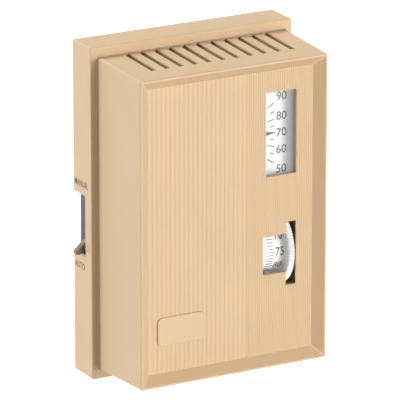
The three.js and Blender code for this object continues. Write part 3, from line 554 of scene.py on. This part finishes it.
def fan_of_ticks_tree():
    """Ticks that point at an arbor but end on an upright line, as on a dial seen through a narrow window."""
    tree, given = new_tree(
        "fan_of_ticks",
        Int=["Count"],
        Float=["First Angle", "Step", "Inner X", "Outer X", "Thickness", "Height"],
        Vector=["Arbor"],
    )
    points, angle = tick_places(tree, given)
    arbor = node(tree, "ShaderNodeSeparateXYZ", {0: given["Arbor"]}).outputs
    ends = node(tree, "ShaderNodeMath", {0: given["Inner X"], 1: given["Outer X"]}, operation="ADD")
    middle = node(tree, "ShaderNodeMath", {0: ends, 1: 0.5}, operation="MULTIPLY")
    reach = node(tree, "ShaderNodeMath", {0: middle, 1: arbor["X"]}, operation="SUBTRACT")
    slope = node(tree, "ShaderNodeMath", {0: angle}, operation="TANGENT")
    climb = node(tree, "ShaderNodeMath", {0: reach, 1: slope}, operation="MULTIPLY")
    rise = node(tree, "ShaderNodeMath", {0: arbor["Z"], 1: climb}, operation="ADD")
    spread = node(
        tree,
        "GeometryNodeSetPosition",
        {"Geometry": points, "Position": node(tree, "ShaderNodeCombineXYZ", {0: middle, 1: arbor["Y"], 2: rise})},
    )
    across = node(tree, "ShaderNodeMath", {0: given["Outer X"], 1: given["Inner X"]}, operation="SUBTRACT")
    lean = node(tree, "ShaderNodeMath", {0: angle}, operation="COSINE")
    length = node(tree, "ShaderNodeMath", {0: across, 1: lean}, operation="DIVIDE")
    tick = node(tree, "GeometryNodeMeshCube", {"Size": (1, 1, 1)})
    tilt = node(tree, "ShaderNodeMath", {0: angle, 1: -1.0}, operation="MULTIPLY")
    row = node(
        tree,
        "GeometryNodeInstanceOnPoints",
        {
            "Points": spread,
            "Instance": tick.outputs["Mesh"],
            "Rotation": node(tree, "ShaderNodeCombineXYZ", {1: tilt}),
            "Scale": node(tree, "ShaderNodeCombineXYZ", {0: length, 1: given["Thickness"], 2: given["Height"]}),
        },
    )
    close_tree(tree, row, given["Material"])
    return tree


def ring_of_ticks_tree():
    """Ticks wrapped round a drum that turns on X, one for each step of its scale."""
    tree, given = new_tree(
        "ring_of_ticks",
        Int=["Count"],
        Float=["First Angle", "Step", "Radius", "Length", "Thickness", "Height"],
        Vector=["Centre"],
    )
    points, angle = tick_places(tree, given)
    inward = node(tree, "ShaderNodeMath", {0: given["Radius"], 1: -1.0}, operation="MULTIPLY")
    ways = [node(tree, "ShaderNodeMath", {0: angle}, operation=kind) for kind in ("COSINE", "SINE")]
    out_y, out_z = [node(tree, "ShaderNodeMath", {0: inward, 1: way}, operation="MULTIPLY") for way in ways]
    out = node(tree, "ShaderNodeCombineXYZ", {1: out_y, 2: out_z})
    centre = node(tree, "ShaderNodeVectorMath", {0: given["Centre"], 1: out}, operation="ADD")
    spread = node(tree, "GeometryNodeSetPosition", {"Geometry": points, "Position": centre})
    tick = node(tree, "GeometryNodeMeshCube", {"Size": (1, 1, 1)})
    size = node(tree, "ShaderNodeCombineXYZ", {0: given["Length"], 1: given["Thickness"], 2: given["Height"]})
    row = node(
        tree,
        "GeometryNodeInstanceOnPoints",
        {
            "Points": spread,
            "Instance": tick.outputs["Mesh"],
            "Rotation": node(tree, "ShaderNodeCombineXYZ", {0: angle}),
            "Scale": size,
        },
    )
    close_tree(tree, row, given["Material"])
    return tree


def knurl_tree():
    """Presses straight teeth into the rim of a wheel that turns on X."""
    tree, given = new_tree(
        "pressed_knurl",
        Geometry=["Geometry"],
        Float=["Teeth", "Tooth Depth", "Rim From"],
        Vector=["Centre"],
    )
    place = node(tree, "GeometryNodeInputPosition")
    offset = node(tree, "ShaderNodeVectorMath", {0: place, 1: given["Centre"]}, operation="SUBTRACT")
    part = node(tree, "ShaderNodeSeparateXYZ", {0: offset}).outputs
    across = node(tree, "ShaderNodeCombineXYZ", {1: part["Y"], 2: part["Z"]})
    radius = node(tree, "ShaderNodeVectorMath", {0: across}, operation="LENGTH").outputs["Value"]
    outward = node(tree, "ShaderNodeVectorMath", {0: across}, operation="NORMALIZE")
    turn = node(tree, "ShaderNodeMath", {0: part["Z"], 1: part["Y"]}, operation="ARCTAN2")
    phase = node(tree, "ShaderNodeMath", {0: turn, 1: given["Teeth"]}, operation="MULTIPLY")
    wave = node(tree, "ShaderNodeMath", {0: phase}, operation="COSINE")
    drop = node(tree, "ShaderNodeMath", {0: wave, 1: 1.0}, operation="SUBTRACT")
    half_depth = node(tree, "ShaderNodeMath", {0: given["Tooth Depth"], 1: 0.5}, operation="MULTIPLY")
    sink = node(tree, "ShaderNodeMath", {0: drop, 1: half_depth}, operation="MULTIPLY")
    push = node(tree, "ShaderNodeVectorMath", {0: outward, "Scale": sink}, operation="SCALE")
    rim = node(tree, "ShaderNodeMath", {0: radius, 1: given["Rim From"]}, operation="GREATER_THAN")
    pressed = node(
        tree, "GeometryNodeSetPosition", {"Geometry": given["Geometry"], "Selection": rim, "Offset": push}
    )
    close_tree(tree, pressed, given["Material"])
    return tree


def winding_tree():
    """A wire or strip wound into a spiral or a spring, its axis along Z."""
    tree, given = new_tree(
        "winding",
        Float=["Turns", "Start Radius", "End Radius", "Rise", "Wire Width", "Wire Height"],
        Int=["Steps A Turn", "Wire Sides"],
    )
    path = node(
        tree,
        "GeometryNodeCurveSpiral",
        {
            "Resolution": given["Steps A Turn"],
            "Rotations": given["Turns"],
            "Start Radius": given["Start Radius"],
            "End Radius": given["End Radius"],
            "Height": given["Rise"],
        },
    )
    level = node(tree, "GeometryNodeSetCurveNormal", {"Curve": path}, mode="Z_UP")
    section = node(
        tree, "GeometryNodeCurvePrimitiveCircle", {"Resolution": given["Wire Sides"], "Radius": math.sqrt(0.5)}
    )
    square = node(tree, "GeometryNodeTransform", {"Geometry": section, "Rotation": (0, 0, math.pi / 4)})
    size = node(tree, "ShaderNodeCombineXYZ", {0: given["Wire Width"], 1: given["Wire Height"], 2: 1.0})
    sized = node(tree, "GeometryNodeTransform", {"Geometry": square, "Scale": size})
    wire = node(tree, "GeometryNodeCurveToMesh", {"Curve": level, "Profile Curve": sized, "Fill Caps": True})
    close_tree(tree, wire, given["Material"])
    return tree


def screw_tree():
    """A slotted screw: its head rises on +Z from z = 0, and its thread goes down."""
    tree, given = new_tree(
        "slotted_screw",
        Float=["Head Radius", "Head Height", "Shank Radius", "Length", "Slot Width", "Thread Pitch"],
    )
    head_r, head_h, shank_r = given["Head Radius"], given["Head Height"], given["Shank Radius"]
    down = node(tree, "ShaderNodeMath", {0: given["Length"], 1: -1.0}, operation="MULTIPLY")

    def disc(radius_low, radius_high, low, high):
        """One tapered step of the screw, between two heights."""
        depth = node(tree, "ShaderNodeMath", {0: high, 1: low}, operation="SUBTRACT")
        cone = node(
            tree,
            "GeometryNodeMeshCone",
            {"Vertices": 32, "Radius Top": radius_high, "Radius Bottom": radius_low, "Depth": depth},
        )
        seat = node(tree, "ShaderNodeCombineXYZ", {2: low})
        return node(tree, "GeometryNodeTransform", {"Geometry": cone.outputs["Mesh"], "Translation": seat})

    def share(value, part):
        """A part of one of the screw's sizes."""
        return node(tree, "ShaderNodeMath", {0: value, 1: part}, operation="MULTIPLY")

    foot = node(tree, "ShaderNodeMath", {0: 0.0, 1: share(shank_r, 0.05)}, operation="SUBTRACT")
    solids = [
        disc(share(head_r, 0.96), head_r, 0.0, share(head_h, 0.1)),
        disc(head_r, head_r, share(head_h, 0.08), share(head_h, 0.62)),
        disc(head_r, share(head_r, 0.93), share(head_h, 0.6), share(head_h, 0.85)),
        disc(share(head_r, 0.93), share(head_r, 0.8), share(head_h, 0.84), head_h),
        disc(share(shank_r, 0.88), share(shank_r, 0.88), down, foot),
    ]
    head = node(tree, "GeometryNodeMeshBoolean", {"Mesh 2": solids}, operation="UNION", solver="EXACT")
    size = node(tree, "ShaderNodeCombineXYZ", {0: given["Slot Width"], 1: share(head_r, 2.4), 2: share(head_h, 1.1)})
    bar = node(tree, "GeometryNodeMeshCube", {"Size": size}).outputs["Mesh"]
    top = node(tree, "ShaderNodeCombineXYZ", {2: head_h})
    slot = node(tree, "GeometryNodeTransform", {"Geometry": bar, "Translation": top})
    slotted = node(
        tree, "GeometryNodeMeshBoolean", {"Mesh 1": head, "Mesh 2": slot}, operation="DIFFERENCE", solver="EXACT"
    )
    # The thread is a ridge wound round the shank, and it stops short of both ends.
    run = share(given["Length"], 0.84)
    spiral = node(
        tree,
        "GeometryNodeCurveSpiral",
        {
            "Resolution": 20,
            "Rotations": node(tree, "ShaderNodeMath", {0: run, 1: given["Thread Pitch"]}, operation="DIVIDE"),
            "Start Radius": share(shank_r, 0.86),
            "End Radius": share(shank_r, 0.86),
            "Height": run,
        },
    )
    level = node(tree, "GeometryNodeSetCurveNormal", {"Curve": spiral}, mode="Z_UP")
    ridge = node(tree, "GeometryNodeCurvePrimitiveCircle", {"Resolution": 4, "Radius": share(shank_r, 0.13)})
    thread = node(tree, "GeometryNodeCurveToMesh", {"Curve": level, "Profile Curve": ridge, "Fill Caps": True})
    start = node(tree, "ShaderNodeCombineXYZ", {2: share(given["Length"], -0.95)})
    wound = node(tree, "GeometryNodeTransform", {"Geometry": thread, "Translation": start})
    whole = node(tree, "GeometryNodeJoinGeometry", {"Geometry": [slotted, wound]})
    close_tree(tree, whole, given["Material"])
    return tree


BAR_ROW = bar_row_tree()
FAN_OF_TICKS = fan_of_ticks_tree()
RING_OF_TICKS = ring_of_ticks_tree()
KNURL = knurl_tree()
WINDING = winding_tree()
SCREW = screw_tree()

# Turns a shape that was made with its axis on Z so that its +Z end faces the front (-Y), or the back (+Y).
FACE_FRONT = Matrix.Rotation(math.pi / 2, 4, "X")
FACE_BACK = Matrix.Rotation(-math.pi / 2, 4, "X")


# ---------- cover ----------
def quarter(x0, y0, x1, y1, hollow=False, steps=4):
    """Points (inset, y) on a quarter ellipse between two ends: a round edge, or a root fillet if hollow."""
    points = []
    for i in range(steps + 1):
        a = math.pi / 2 * i / steps
        across, along = (1 - math.cos(a), math.sin(a)) if not hollow else (math.sin(a), 1 - math.cos(a))
        points.append((x0 + (x1 - x0) * across, y0 + (y1 - y0) * along))
    return points


def cover_skin():
    """The cover's outside: flange, root fillet, tapered hood, round front edge and sloping frame."""
    half_w, half_h = FLANGE_W / 2, FLANGE_H / 2
    flange_y = -FLANGE_DEPTH
    rings = [ring(half_w, half_h, FLANGE_CORNER, 0)]
    for inset, y in quarter(0, flange_y + FLANGE_EDGE, FLANGE_EDGE, flange_y):
        rings.append(ring(half_w - inset, half_h - inset, FLANGE_CORNER - inset * 0.5, y))
    hood_w, hood_h = HOOD_W / 2, HOOD_H / 2
    root = 0.45
    for inset, y in quarter(-root, flange_y, 0, flange_y - root, hollow=True):
        rings.append(ring(hood_w - inset, hood_h - inset, HOOD_CORNER - inset, y))
    front_w, front_h = hood_w - DRAFT_X, hood_h - DRAFT_Z
    for inset, y in quarter(0, FRONT_Y + HOOD_EDGE, HOOD_EDGE, FRONT_Y):
        rings.append(ring(front_w - inset, front_h - inset, HOOD_CORNER - inset * 0.6, y))
    rings.append(ring(front_w - HOOD_EDGE - RIM, front_h - HOOD_EDGE - RIM, 0.25, FRONT_Y))
    rings.append(ring(PANEL_HALF_W, PANEL_HALF_H, 0.2, PANEL_Y))
    return loft("cover_skin", rings)


def cover_cavity():
    """The space inside the cover."""
    half_w, half_h = FLANGE_W / 2 - WALL, FLANGE_H / 2 - WALL
    hood_w, hood_h = HOOD_W / 2 - WALL, HOOD_H / 2 - WALL
    front_w, front_h = hood_w - DRAFT_X, hood_h - DRAFT_Z
    return loft(
        "cover_cavity",
        [
            ring(half_w, half_h, 1.0, 1),
            ring(half_w, half_h, 1.0, -FLANGE_DEPTH + WALL),
            ring(hood_w, hood_h, 0.8, -FLANGE_DEPTH + WALL - 0.01),
            ring(front_w, front_h, 0.8, PANEL_BACK_Y - 1.0),
            ring(front_w - 1.0, front_h - 1.0, 0.6, PANEL_BACK_Y),
        ],
    )


def window_cutters(name, grow=0.0):
    """Cutters for the panel's openings, grown on every side, with slightly round corners."""
    return [
        block(name, x0 - grow, x1 + grow, FRONT_Y - 1, PANEL_CUT_Y, z0 - grow, z1 + grow, 0.25)
        for x0, x1, z0, z1 in OPENINGS
    ]


def reeds():
    """The reeded front: low round ribs, trimmed where the windows are."""
    rows = []
    height = 2 * (PANEL_HALF_H + 0.1)
    for x0, x1, count in ((-PANEL_HALF_W, RIB_SPLIT_X, 22), (RIB_SPLIT_X, PANEL_HALF_W, 30)):
        pitch = (x1 - x0) / count
        rows.append(
            grown(
                BAR_ROW,
                "reeds",
                {
                    "Count": count,
                    "Start": Vector((x0 + pitch / 2, PANEL_Y + 0.02, 0)) * MM,
                    "Pitch": pitch * MM,
                    "Width": 0.86 * pitch * MM,
                    "Depth": (0.3 if pitch > 1 else 0.26) * MM,
                    "Height": height * MM,
                    "Sides": 16,
                    "Turn": 0.0,
                    "Material": MOULDED_ABS,
                },
            )
        )
    cutters = window_cutters("reed_trim", 0.02)
    return [combined(row, "DIFFERENCE", *cutters) for row in rows]


def cover():
    """The whole cover: its skin cut by every opening, with bosses, the plain pad and the reeds."""
    cutters = [cover_cavity(), *window_cutters("opening")]
    left, right, foot, top = WHEEL_SLOT
    well_r = WHEEL_R + 0.5
    well = [(left, 0.5), (left, well_r), (right, well_r), (right, 0.5)]
    cutters.append(turned("wheel_well", well, "x", DIAL_AXIS, 96))
    # Behind a thin lip the slot is relieved, so that the wheel's teeth clear it.
    cutters.append(block("relief", left + 1, right + 0.9, PANEL_Y + 0.3, PANEL_CUT_Y, foot + 0.01, top - 0.01))
    first_slot = SLOTS["middle"] - (SLOTS["count"] - 1) / 2 * SLOTS["pitch"]
    square = math.sqrt(2)  # a four-sided bar is this much narrower across its flats than across its corners
    cutters.append(
        grown(
            BAR_ROW,
            "slots",
            {
                "Count": SLOTS["count"],
                "Start": Vector((first_slot, (SLOTS["near"] + SLOTS["far"]) / 2, 0)) * MM,
                "Pitch": SLOTS["pitch"] * MM,
                "Width": SLOTS["width"] * square * MM,
                "Depth": (SLOTS["far"] - SLOTS["near"]) * square * MM,
                "Height": 2 * HOOD_H * MM,
                "Sides": 4,
                "Turn": math.pi / 4,
                "Material": MOULDED_ABS,
            },
        )
    )
    side = FLANGE_W / 2
    cutters.append(block("notch", -side - 1, -side + WALL + 1, NOTCH["y"], 1, NOTCH["low"], NOTCH["high"]))
    for x in COVER_SCREWS:
        cutters.append(turned("screw_hole", [(-60, 0.01), (-60, 1.8), (-30, 1.8), (-30, 0.01)], "z", (x, -3.0, 0), 32))
    shell = combined(cover_skin(), "DIFFERENCE", *cutters)
    boss_foot, hole_end = PANEL_BACK_Y - 0.4, PANEL_BACK_Y + 0.1
    boss = [(boss_foot, 0.5), (boss_foot, 2.1), (-25.6, 2.0), (-25.6, 0.95), (hole_end, 0.95), (hole_end, 0.5)]
    bosses = [turned("scale_boss", boss, "y", (x, 0, z), 32) for x, z in SCALE_SCREWS]
    shell = rounded(combined(shell, "UNION", *bosses), 0.07, angle=50)
    x, z, half_w, half_h = PAD["x"], PAD["z"], PAD["w"] / 2, PAD["h"] / 2
    pad = block("pad", x - half_w, x + half_w, PANEL_Y - 0.5, PANEL_Y + 0.3, z - half_h, z + half_h, PAD_CORNER)
    whole = combined(shell, "UNION", rounded(pad, 0.2, 3), *reeds())
    return flat_faces_flat(smooth_by_angle(whole, 40))


show(cover(), "reeded_cover", "front_cover")


# ---------- lettering ----------
def letters(text, height, width):
    """Flat lettering in the XY plane, centred: a plain sans face of a given height and width in millimetres."""
    curve = bpy.data.curves.new(text, "FONT")
    curve.body = text
    curve.align_x = "CENTER"
    curve.resolution_u = 6
    curve.offset = 0.012
    holder = bpy.data.objects.new(text, curve)
    scene.collection.objects.link(holder)
    mesh = bpy.data.meshes.new_from_object(holder.evaluated_get(bpy.context.evaluated_depsgraph_get()))
    bpy.data.objects.remove(holder)
    top, low = max(v.co.y for v in mesh.vertices), min(v.co.y for v in mesh.vertices)
    scale = Matrix.Scale(height * MM / (top - low), 4)
    mesh.transform(Matrix.Translation((0, -height * MM / 2, 0)) @ scale @ Matrix.Translation((0, -low, 0)))
    xs = [v.co.x for v in mesh.vertices]
    mesh.transform(Matrix.Scale(width * MM / (max(xs) - min(xs)), 4, (1, 0, 0)))
    return mesh


def inked(mesh):
    """Gives flat print the thickness of its film."""
    return applied(mesh, ("SOLIDIFY", {"thickness": 0.015 * MM, "offset": 1.0}))


def joined(name, meshes):
    """One mesh of several."""
    work = bmesh.new()
    for mesh in meshes:
        work.from_mesh(mesh)
    made = bpy.data.meshes.new(name)
    work.to_mesh(made)
    work.free()
    return made


# Words beside the lever's notch, on the flange's left side: they read from the wall to the front.
side_words = []
ON_LEFT_SIDE = Matrix(((0, 0, -1, 0), (-1, 0, 0, 0), (0, 1, 0, 0), (0, 0, 0, 1)))
for word, width, y, z in (("MANUAL", 7.2, -4.35, 7.3), ("AUTO", 5.5, -3.35, -15.0)):
    flat = letters(word, 1.75, width)
    flat.transform(Matrix.Translation(Vector((-FLANGE_W / 2 - 0.002, y, z)) * MM) @ ON_LEFT_SIDE)
    side_words.append(inked(flat))
show(joined("side_words", side_words), "lever_wording", None, body="cover", material=BROWN_INK)

# ---------- thermometer ----------
show(rounded(cad_copy("scale_plate"), 0.1), "enamelled_scale_plate", "scale_plate", material=WHITE_ENAMEL)
scale_y = box_mm("scale_plate")[0].y
marks = []
for first_f, step_f, count, inner_x in ((50, 10, 5, 13.4), (55, 10, 4, 14.1)):
    marks.append(
        grown(
            FAN_OF_TICKS,
            "ticks",
            {
                "Count": count,
                "First Angle": math.radians((first_f - 70) * POINTER_STEP),
                "Step": math.radians(step_f * POINTER_STEP),
                "Inner X": inner_x * MM,
                "Outer X": 15.3 * MM,
                "Thickness": 0.03 * MM,
                "Height": 0.3 * MM,
                "Arbor": Vector((ARBOR_X, scale_y, ARBOR_Z)) * MM,
                "Material": GREY_INK,
            },
        )
    )
FIGURE_REACH = 15.9  # from the arbor to the upright column of figures, each one on its long tick's line
for degrees_f in range(50, 91, 10):
    z = ARBOR_Z + FIGURE_REACH * math.tan(math.radians((degrees_f - 70) * POINTER_STEP)) - 0.05
    flat = letters(str(degrees_f), 2.25, 3.0)
    flat.transform(Matrix.Translation(Vector((17.5, scale_y - 0.003, z)) * MM) @ FACE_FRONT)
    marks.append(inked(flat))
show(joined("scale_print", marks), "thermometer_print", None, body="cover", material=GREY_INK)

coil_mid = (COIL_LOW + COIL_HIGH) / 2
coil = grown(
    WINDING,
    "coil",
    {
        "Turns": 4.0,
        "Steps A Turn": 48,
        "Start Radius": 1.5 * MM,
        "End Radius": 6.6 * MM,
        "Rise": 0.0,
        "Wire Width": 0.3 * MM,
        "Wire Height": 2.9 * MM,
        "Wire Sides": 4,
        "Material": ROLLED_BIMETAL,
    },
)
coil.transform(Matrix.Translation(Vector((ARBOR_X, coil_mid.y, ARBOR_Z)) * MM) @ FACE_BACK)
show(smooth_by_angle(coil), "wound_bimetal_coil", "thermometer_coil")

# ---------- set point dial ----------
RIM_RISE = 0.5  # of the drum's left rim above its scale
DRUM_R = (DRUM_HIGH.z - DRUM_LOW.z) / 2 - RIM_RISE
left, right = DRUM_LOW.x + 0.2, 17.39  # the right end closes against the wheel's web
shell_r, rim_r = DRUM_R - 1.2, DRUM_R + RIM_RISE
drum_profile = [
    (left - 0.2, 1.3), (left - 0.2, 2.45), (left - 0.05, 2.6), (right - 1.2, 2.6), (right - 1.2, shell_r),
    (left, shell_r), (left, rim_r - 0.2), (left + 0.06, rim_r - 0.06), (left + 0.2, rim_r), (left + 0.65, rim_r),
    (left + 0.94, rim_r - 0.06), (left + 1.0, rim_r - 0.2), (left + 1.0, DRUM_R), (right, DRUM_R), (right, 1.3),
]
show(smooth_by_angle(turned("drum", drum_profile, "x", DIAL_AXIS, 96)), "set_point_drum", "dial_drum")

RIM_X, WEB_X, end = 16.75, 17.4, WHEEL_HIGH.x
# The real rim's teeth are finer, perhaps 140 of them. These are coarser and deeper, so that they show at all.
TEETH = 110
wheel_profile = [
    (WEB_X, 1.3), (WEB_X, 8.5), (WEB_X - 0.15, 8.7), (RIM_X + 0.1, 8.8), (RIM_X, 8.9), (RIM_X, WHEEL_R - 0.5),
    (RIM_X + 0.08, WHEEL_R - 0.25), (RIM_X + 0.25, WHEEL_R - 0.08), (RIM_X + 0.5, WHEEL_R), (end - 0.1, WHEEL_R),
    (end, WHEEL_R - 0.1), (end, WHEEL_R - 1.2), (end - 0.2, WHEEL_R - 1.5), (end - 0.2, 3.2), (end, 3.0), (end, 1.3),
]
wheel = grown(
    KNURL,
    "wheel",
    {
        "Teeth": float(TEETH),
        "Tooth Depth": 0.36 * MM,
        "Rim From": (WHEEL_R - 0.3) * MM,
        "Centre": DIAL_AXIS * MM,
        "Material": WHITE_ABS,
    },
    turned("wheel", wheel_profile, "x", DIAL_AXIS, 6 * TEETH),
)
show(smooth_by_angle(wheel, 30), "knurled_thumbwheel", "thumbwheel")


def wrapped(mesh, x, angle, radius):
    """Bends flat lettering round the drum: its middle is at an angle below the front."""
    work = bmesh.new()
    work.from_mesh(mesh)
    low, high = min(v.co.y for v in work.verts), max(v.co.y for v in work.verts)
    strips = 8
    for i in range(1, strips):
        everything = work.verts[:] + work.edges[:] + work.faces[:]
        level = (0, low + (high - low) * i / strips, 0)
        bmesh.ops.bisect_plane(work, geom=everything, plane_co=level, plane_no=(0, 1, 0))
    for v in work.verts:
        a = angle - v.co.y / (radius * MM)
        y, z = DIAL_AXIS.y - radius * math.cos(a), DIAL_AXIS.z - radius * math.sin(a)
        v.co = Vector((x * MM + v.co.x, y * MM, z * MM))
    work.to_mesh(mesh)
    work.free()
    return mesh


drum_marks = []
for first_f, step_f, count, middle_x, length in ((55, 1, 31, 13.15, 1.9), (55, 5, 7, 13.35, 2.5)):
    drum_marks.append(
        grown(
            RING_OF_TICKS,
            "drum_ticks",
            {
                "Count": count,
                "First Angle": math.radians((first_f - 75) * DRUM_STEP),
                "Step": math.radians(step_f * DRUM_STEP),
                "Centre": (DIAL_AXIS + Vector((middle_x, 0, 0))) * MM,
                "Radius": DRUM_R * MM,
                "Length": length * MM,
                "Thickness": (0.03 if step_f == 1 else 0.034) * MM,
                "Height": 0.22 * MM,
                "Material": GREY_INK,
            },
        )
    )
for f in range(55, 90, 5):
    flat = letters(str(f), 2.4, 2.5)
    drum_marks.append(inked(wrapped(flat, 15.9, math.radians((f - 75) * DRUM_STEP), DRUM_R + 0.002)))
show(joined("drum_print", drum_marks), "drum_scale_print", None, body="dial", material=GREY_INK)

# ---------- springs, screws and turned pieces ----------
SPRING_R, SPRING_WIRE = 1.7, 0.5
FLAPPER_ROOM = 0.3  # the spring ends this far short of its space, for the flapper's lowest place
low, high = box_mm("flapper_spring")
spring = grown(
    WINDING,
    "spring",
    {
        "Turns": 4.5,
        "Steps A Turn": 32,
        "Start Radius": SPRING_R * MM,
        "End Radius": SPRING_R * MM,
        "Rise": (high.y - low.y - SPRING_WIRE - FLAPPER_ROOM) * MM,
        "Wire Width": SPRING_WIRE * MM,
        "Wire Height": SPRING_WIRE * MM,
        "Wire Sides": 10,
        "Material": SPRING_STEEL,
    },
)
seat = Vector(((low.x + high.x) / 2, low.y + SPRING_WIRE / 2 + FLAPPER_ROOM, (low.z + high.z) / 2))
spring.transform(Matrix.Translation(seat * MM) @ FACE_BACK)
show(smooth_by_angle(spring), "flapper_coil_spring", "flapper_spring")

# Head radius, head height, shank radius and length of each screw. Only the scale's have their heads at the back.
SCREWS = {
    "wall_screw_upper": (3.6, 2.0, 1.75, 18),
    "wall_screw_lower": (3.6, 2.0, 1.75, 18),
    "base_screw_1": (2.3, 1.5, 0.9, 4.2),
    "base_screw_2": (2.3, 1.5, 0.9, 4.2),
    "relay_screw_1": (1.35, 0.9, 0.6, 5.6),
    "relay_screw_2": (1.35, 0.9, 0.6, 5.6),
    "relay_screw_3": (1.35, 0.9, 0.6, 5.6),
    "relay_screw_4": (1.35, 0.9, 0.6, 5.6),
    "gauge_port_plug": (2.2, 1.2, 0.6, 2.0),
    "nozzle_block_screw_1": (1.5, 1.0, 0.6, 1.6),
    "nozzle_block_screw_2": (1.5, 1.0, 0.6, 1.6),
    "clamp_screw": (1.6, 1.0, 0.7, 3.0),
    "bracket_screw_1": (1.9, 1.1, 0.9, 0.8),
    "bracket_screw_2": (1.9, 1.1, 0.9, 0.8),
    "scale_screw_1": (1.7, 1.0, 0.8, 2.2),
    "scale_screw_2": (1.7, 1.0, 0.8, 2.2),
}
for number, (source, (head_r, head_h, shank_r, length)) in enumerate(SCREWS.items()):
    low, high = box_mm(source)
    backwards = source.startswith("scale_screw")
    seat = high.y - head_h if backwards else low.y + head_h
    made = grown(
        SCREW,
        source,
        {
            "Head Radius": head_r * MM,
            "Head Height": head_h * MM,
            "Shank Radius": shank_r * MM,
            "Length": length * MM,
            "Slot Width": head_r / 4 * MM,
            "Thread Pitch": max(0.35, shank_r * 0.55) * MM,
            "Material": MATERIAL_OF_SLOT[SLOT_OF[source]],
        },
    )
    # Each slot stops where the driver left it, so no two lie the same way.
    driver_turn = Matrix.Rotation(math.radians(37 * number % 180), 4, "Z")
    middle = Vector(((low.x + high.x) / 2, seat, (low.z + high.z) / 2)) * MM
    made.transform(Matrix.Translation(middle) @ (FACE_BACK if backwards else FACE_FRONT) @ driver_turn)
    show(smooth_by_angle(made, 40), "slotted_" + source, source)

# A hose barb along Y, then an O-ring of 0.8 mm section.
BARB = [
    (-4.4, 1.0), (-4.4, 2.5), (-4.3, 2.6), (0.5, 2.6), (0.6, 2.5), (0.6, 1.95), (0.75, 1.9), (6.1, 1.9), (6.25, 2.4),
    (6.4, 2.5), (8.9, 1.9), (9.05, 2.4), (9.2, 2.5), (10.85, 1.6), (11.0, 1.5), (11.0, 1.0),
]
SEAL_STEPS = 14
SEAL_TURNS = [2 * math.pi * i / SEAL_STEPS for i in range(SEAL_STEPS)]
SEAL = [(0.4 * math.cos(a), 3.35 + 0.4 * math.sin(a)) for a in SEAL_TURNS]
for line in ("supply", "output"):
    low, high = box_mm(line + "_nipple")
    centre = ((low.x + high.x) / 2, 0, (low.z + high.z) / 2)
    show(smooth_by_angle(turned("barb", BARB, "y", centre, 48), 30), line + "_hose_barb", line + "_nipple")
    low, high = box_mm(line + "_seal")
    centre = ((low.x + high.x) / 2, (low.y + high.y) / 2, (low.z + high.z) / 2)
    show(smooth_by_angle(turned("seal", SEAL, "y", centre, 48), 60), line + "_o_ring", line + "_seal")

# ---------- the rest: each CAD piece with the radius that its making leaves on the edges ----------
EDGE_RADIUS = {
    "mounting_base": 0.3,
    "index_lever": 0.2,
    "relay_body": 0.25,
    "relay_cap": 0.25,
    "nozzle_block": 0.25,
    "valve_body": 0.2,
    "thermometer_lens": 0.12,
    "wall_plate": 0.15,
}
replaced = {name for piece in scene.objects for name in piece.get("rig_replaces", [])}
for source in sorted(set(frame["nodes"]) - replaced):
    made = rounded(cad_copy(source), EDGE_RADIUS.get(source, 0.08))
    show(made, "finished_" + source, source)

# ---------- stage, light and camera ----------
floor_mesh = bpy.data.meshes.new("floor")
FLOOR_REACH, FLOOR_Z = 6.0, -0.22
corners = [(x * FLOOR_REACH, y * FLOOR_REACH, FLOOR_Z) for x, y in ((-1, -1), (1, -1), (1, 1), (-1, 1))]
floor_mesh.from_pydata(corners, [], [(0, 1, 2, 3)])
floor = bpy.data.objects.new("floor", floor_mesh)
scene.collection.objects.link(floor)
paper = finish("pale_studio_paper", "#fbfbfa", 0.9, grain_mm=2, grain_depth_mm=0.02, mottle=0.003, mottle_mm=300)
paper_shader = paper.node_tree.nodes["Principled BSDF"].inputs
paper_shader["Emission Color"].default_value = (1, 1, 1, 1)
paper_shader["Emission Strength"].default_value = 0.9
floor_mesh.materials.append(paper)
floor.visible_diffuse = False  # the bright sheet is lit for itself, and throws nothing back on the object

world = bpy.data.worlds.new("studio")
world.use_nodes = True
background = world.node_tree.nodes["Background"].inputs
background["Color"].default_value = (1, 1, 1, 1)
background["Strength"].default_value = 0.3
scene.world = world


def soft_box(name, azimuth, elevation, power):
    """A round white area light that faces the object: azimuth 0 is the front, and positive is to the right."""
    a, e = math.radians(azimuth), math.radians(elevation)
    out = Vector((math.sin(a) * math.cos(e), -math.cos(a) * math.cos(e), math.sin(e)))
    lamp = bpy.data.lights.new(name, "AREA")
    lamp.shape = "DISK"
    lamp.size = 0.9
    lamp.energy = power
    holder = bpy.data.objects.new(name, lamp)
    holder.location = out * 1.6
    holder.rotation_mode = "QUATERNION"
    holder.rotation_quaternion = out.to_track_quat("Z", "Y")
    scene.collection.objects.link(holder)


soft_box("key_right", 15, 5, 24.8)
soft_box("top_behind", 180, 55, 17.6)
soft_box("side_left", -118, 14, 19.5)
soft_box("side_right", 125, 15, 10)

camera_data = bpy.data.cameras.new("camera")
camera_data.lens = 452
camera_data.sensor_width = 36
camera_data.clip_end = 50
camera = bpy.data.objects.new("camera", camera_data)
azimuth, elevation = math.radians(-29.05), math.radians(17.71)
level = math.cos(elevation)
back = Vector((math.sin(azimuth) * level, -math.cos(azimuth) * level, math.sin(elevation)))
aim = Vector((0.00037, -0.01318, 0.00064))
camera.location = aim + back * 1.2972
camera.rotation_mode = "QUATERNION"
camera.rotation_quaternion = (-back).to_track_quat("-Z", "Y")
scene.collection.objects.link(camera)
scene.camera = camera
scene.view_settings.view_transform = "Standard"
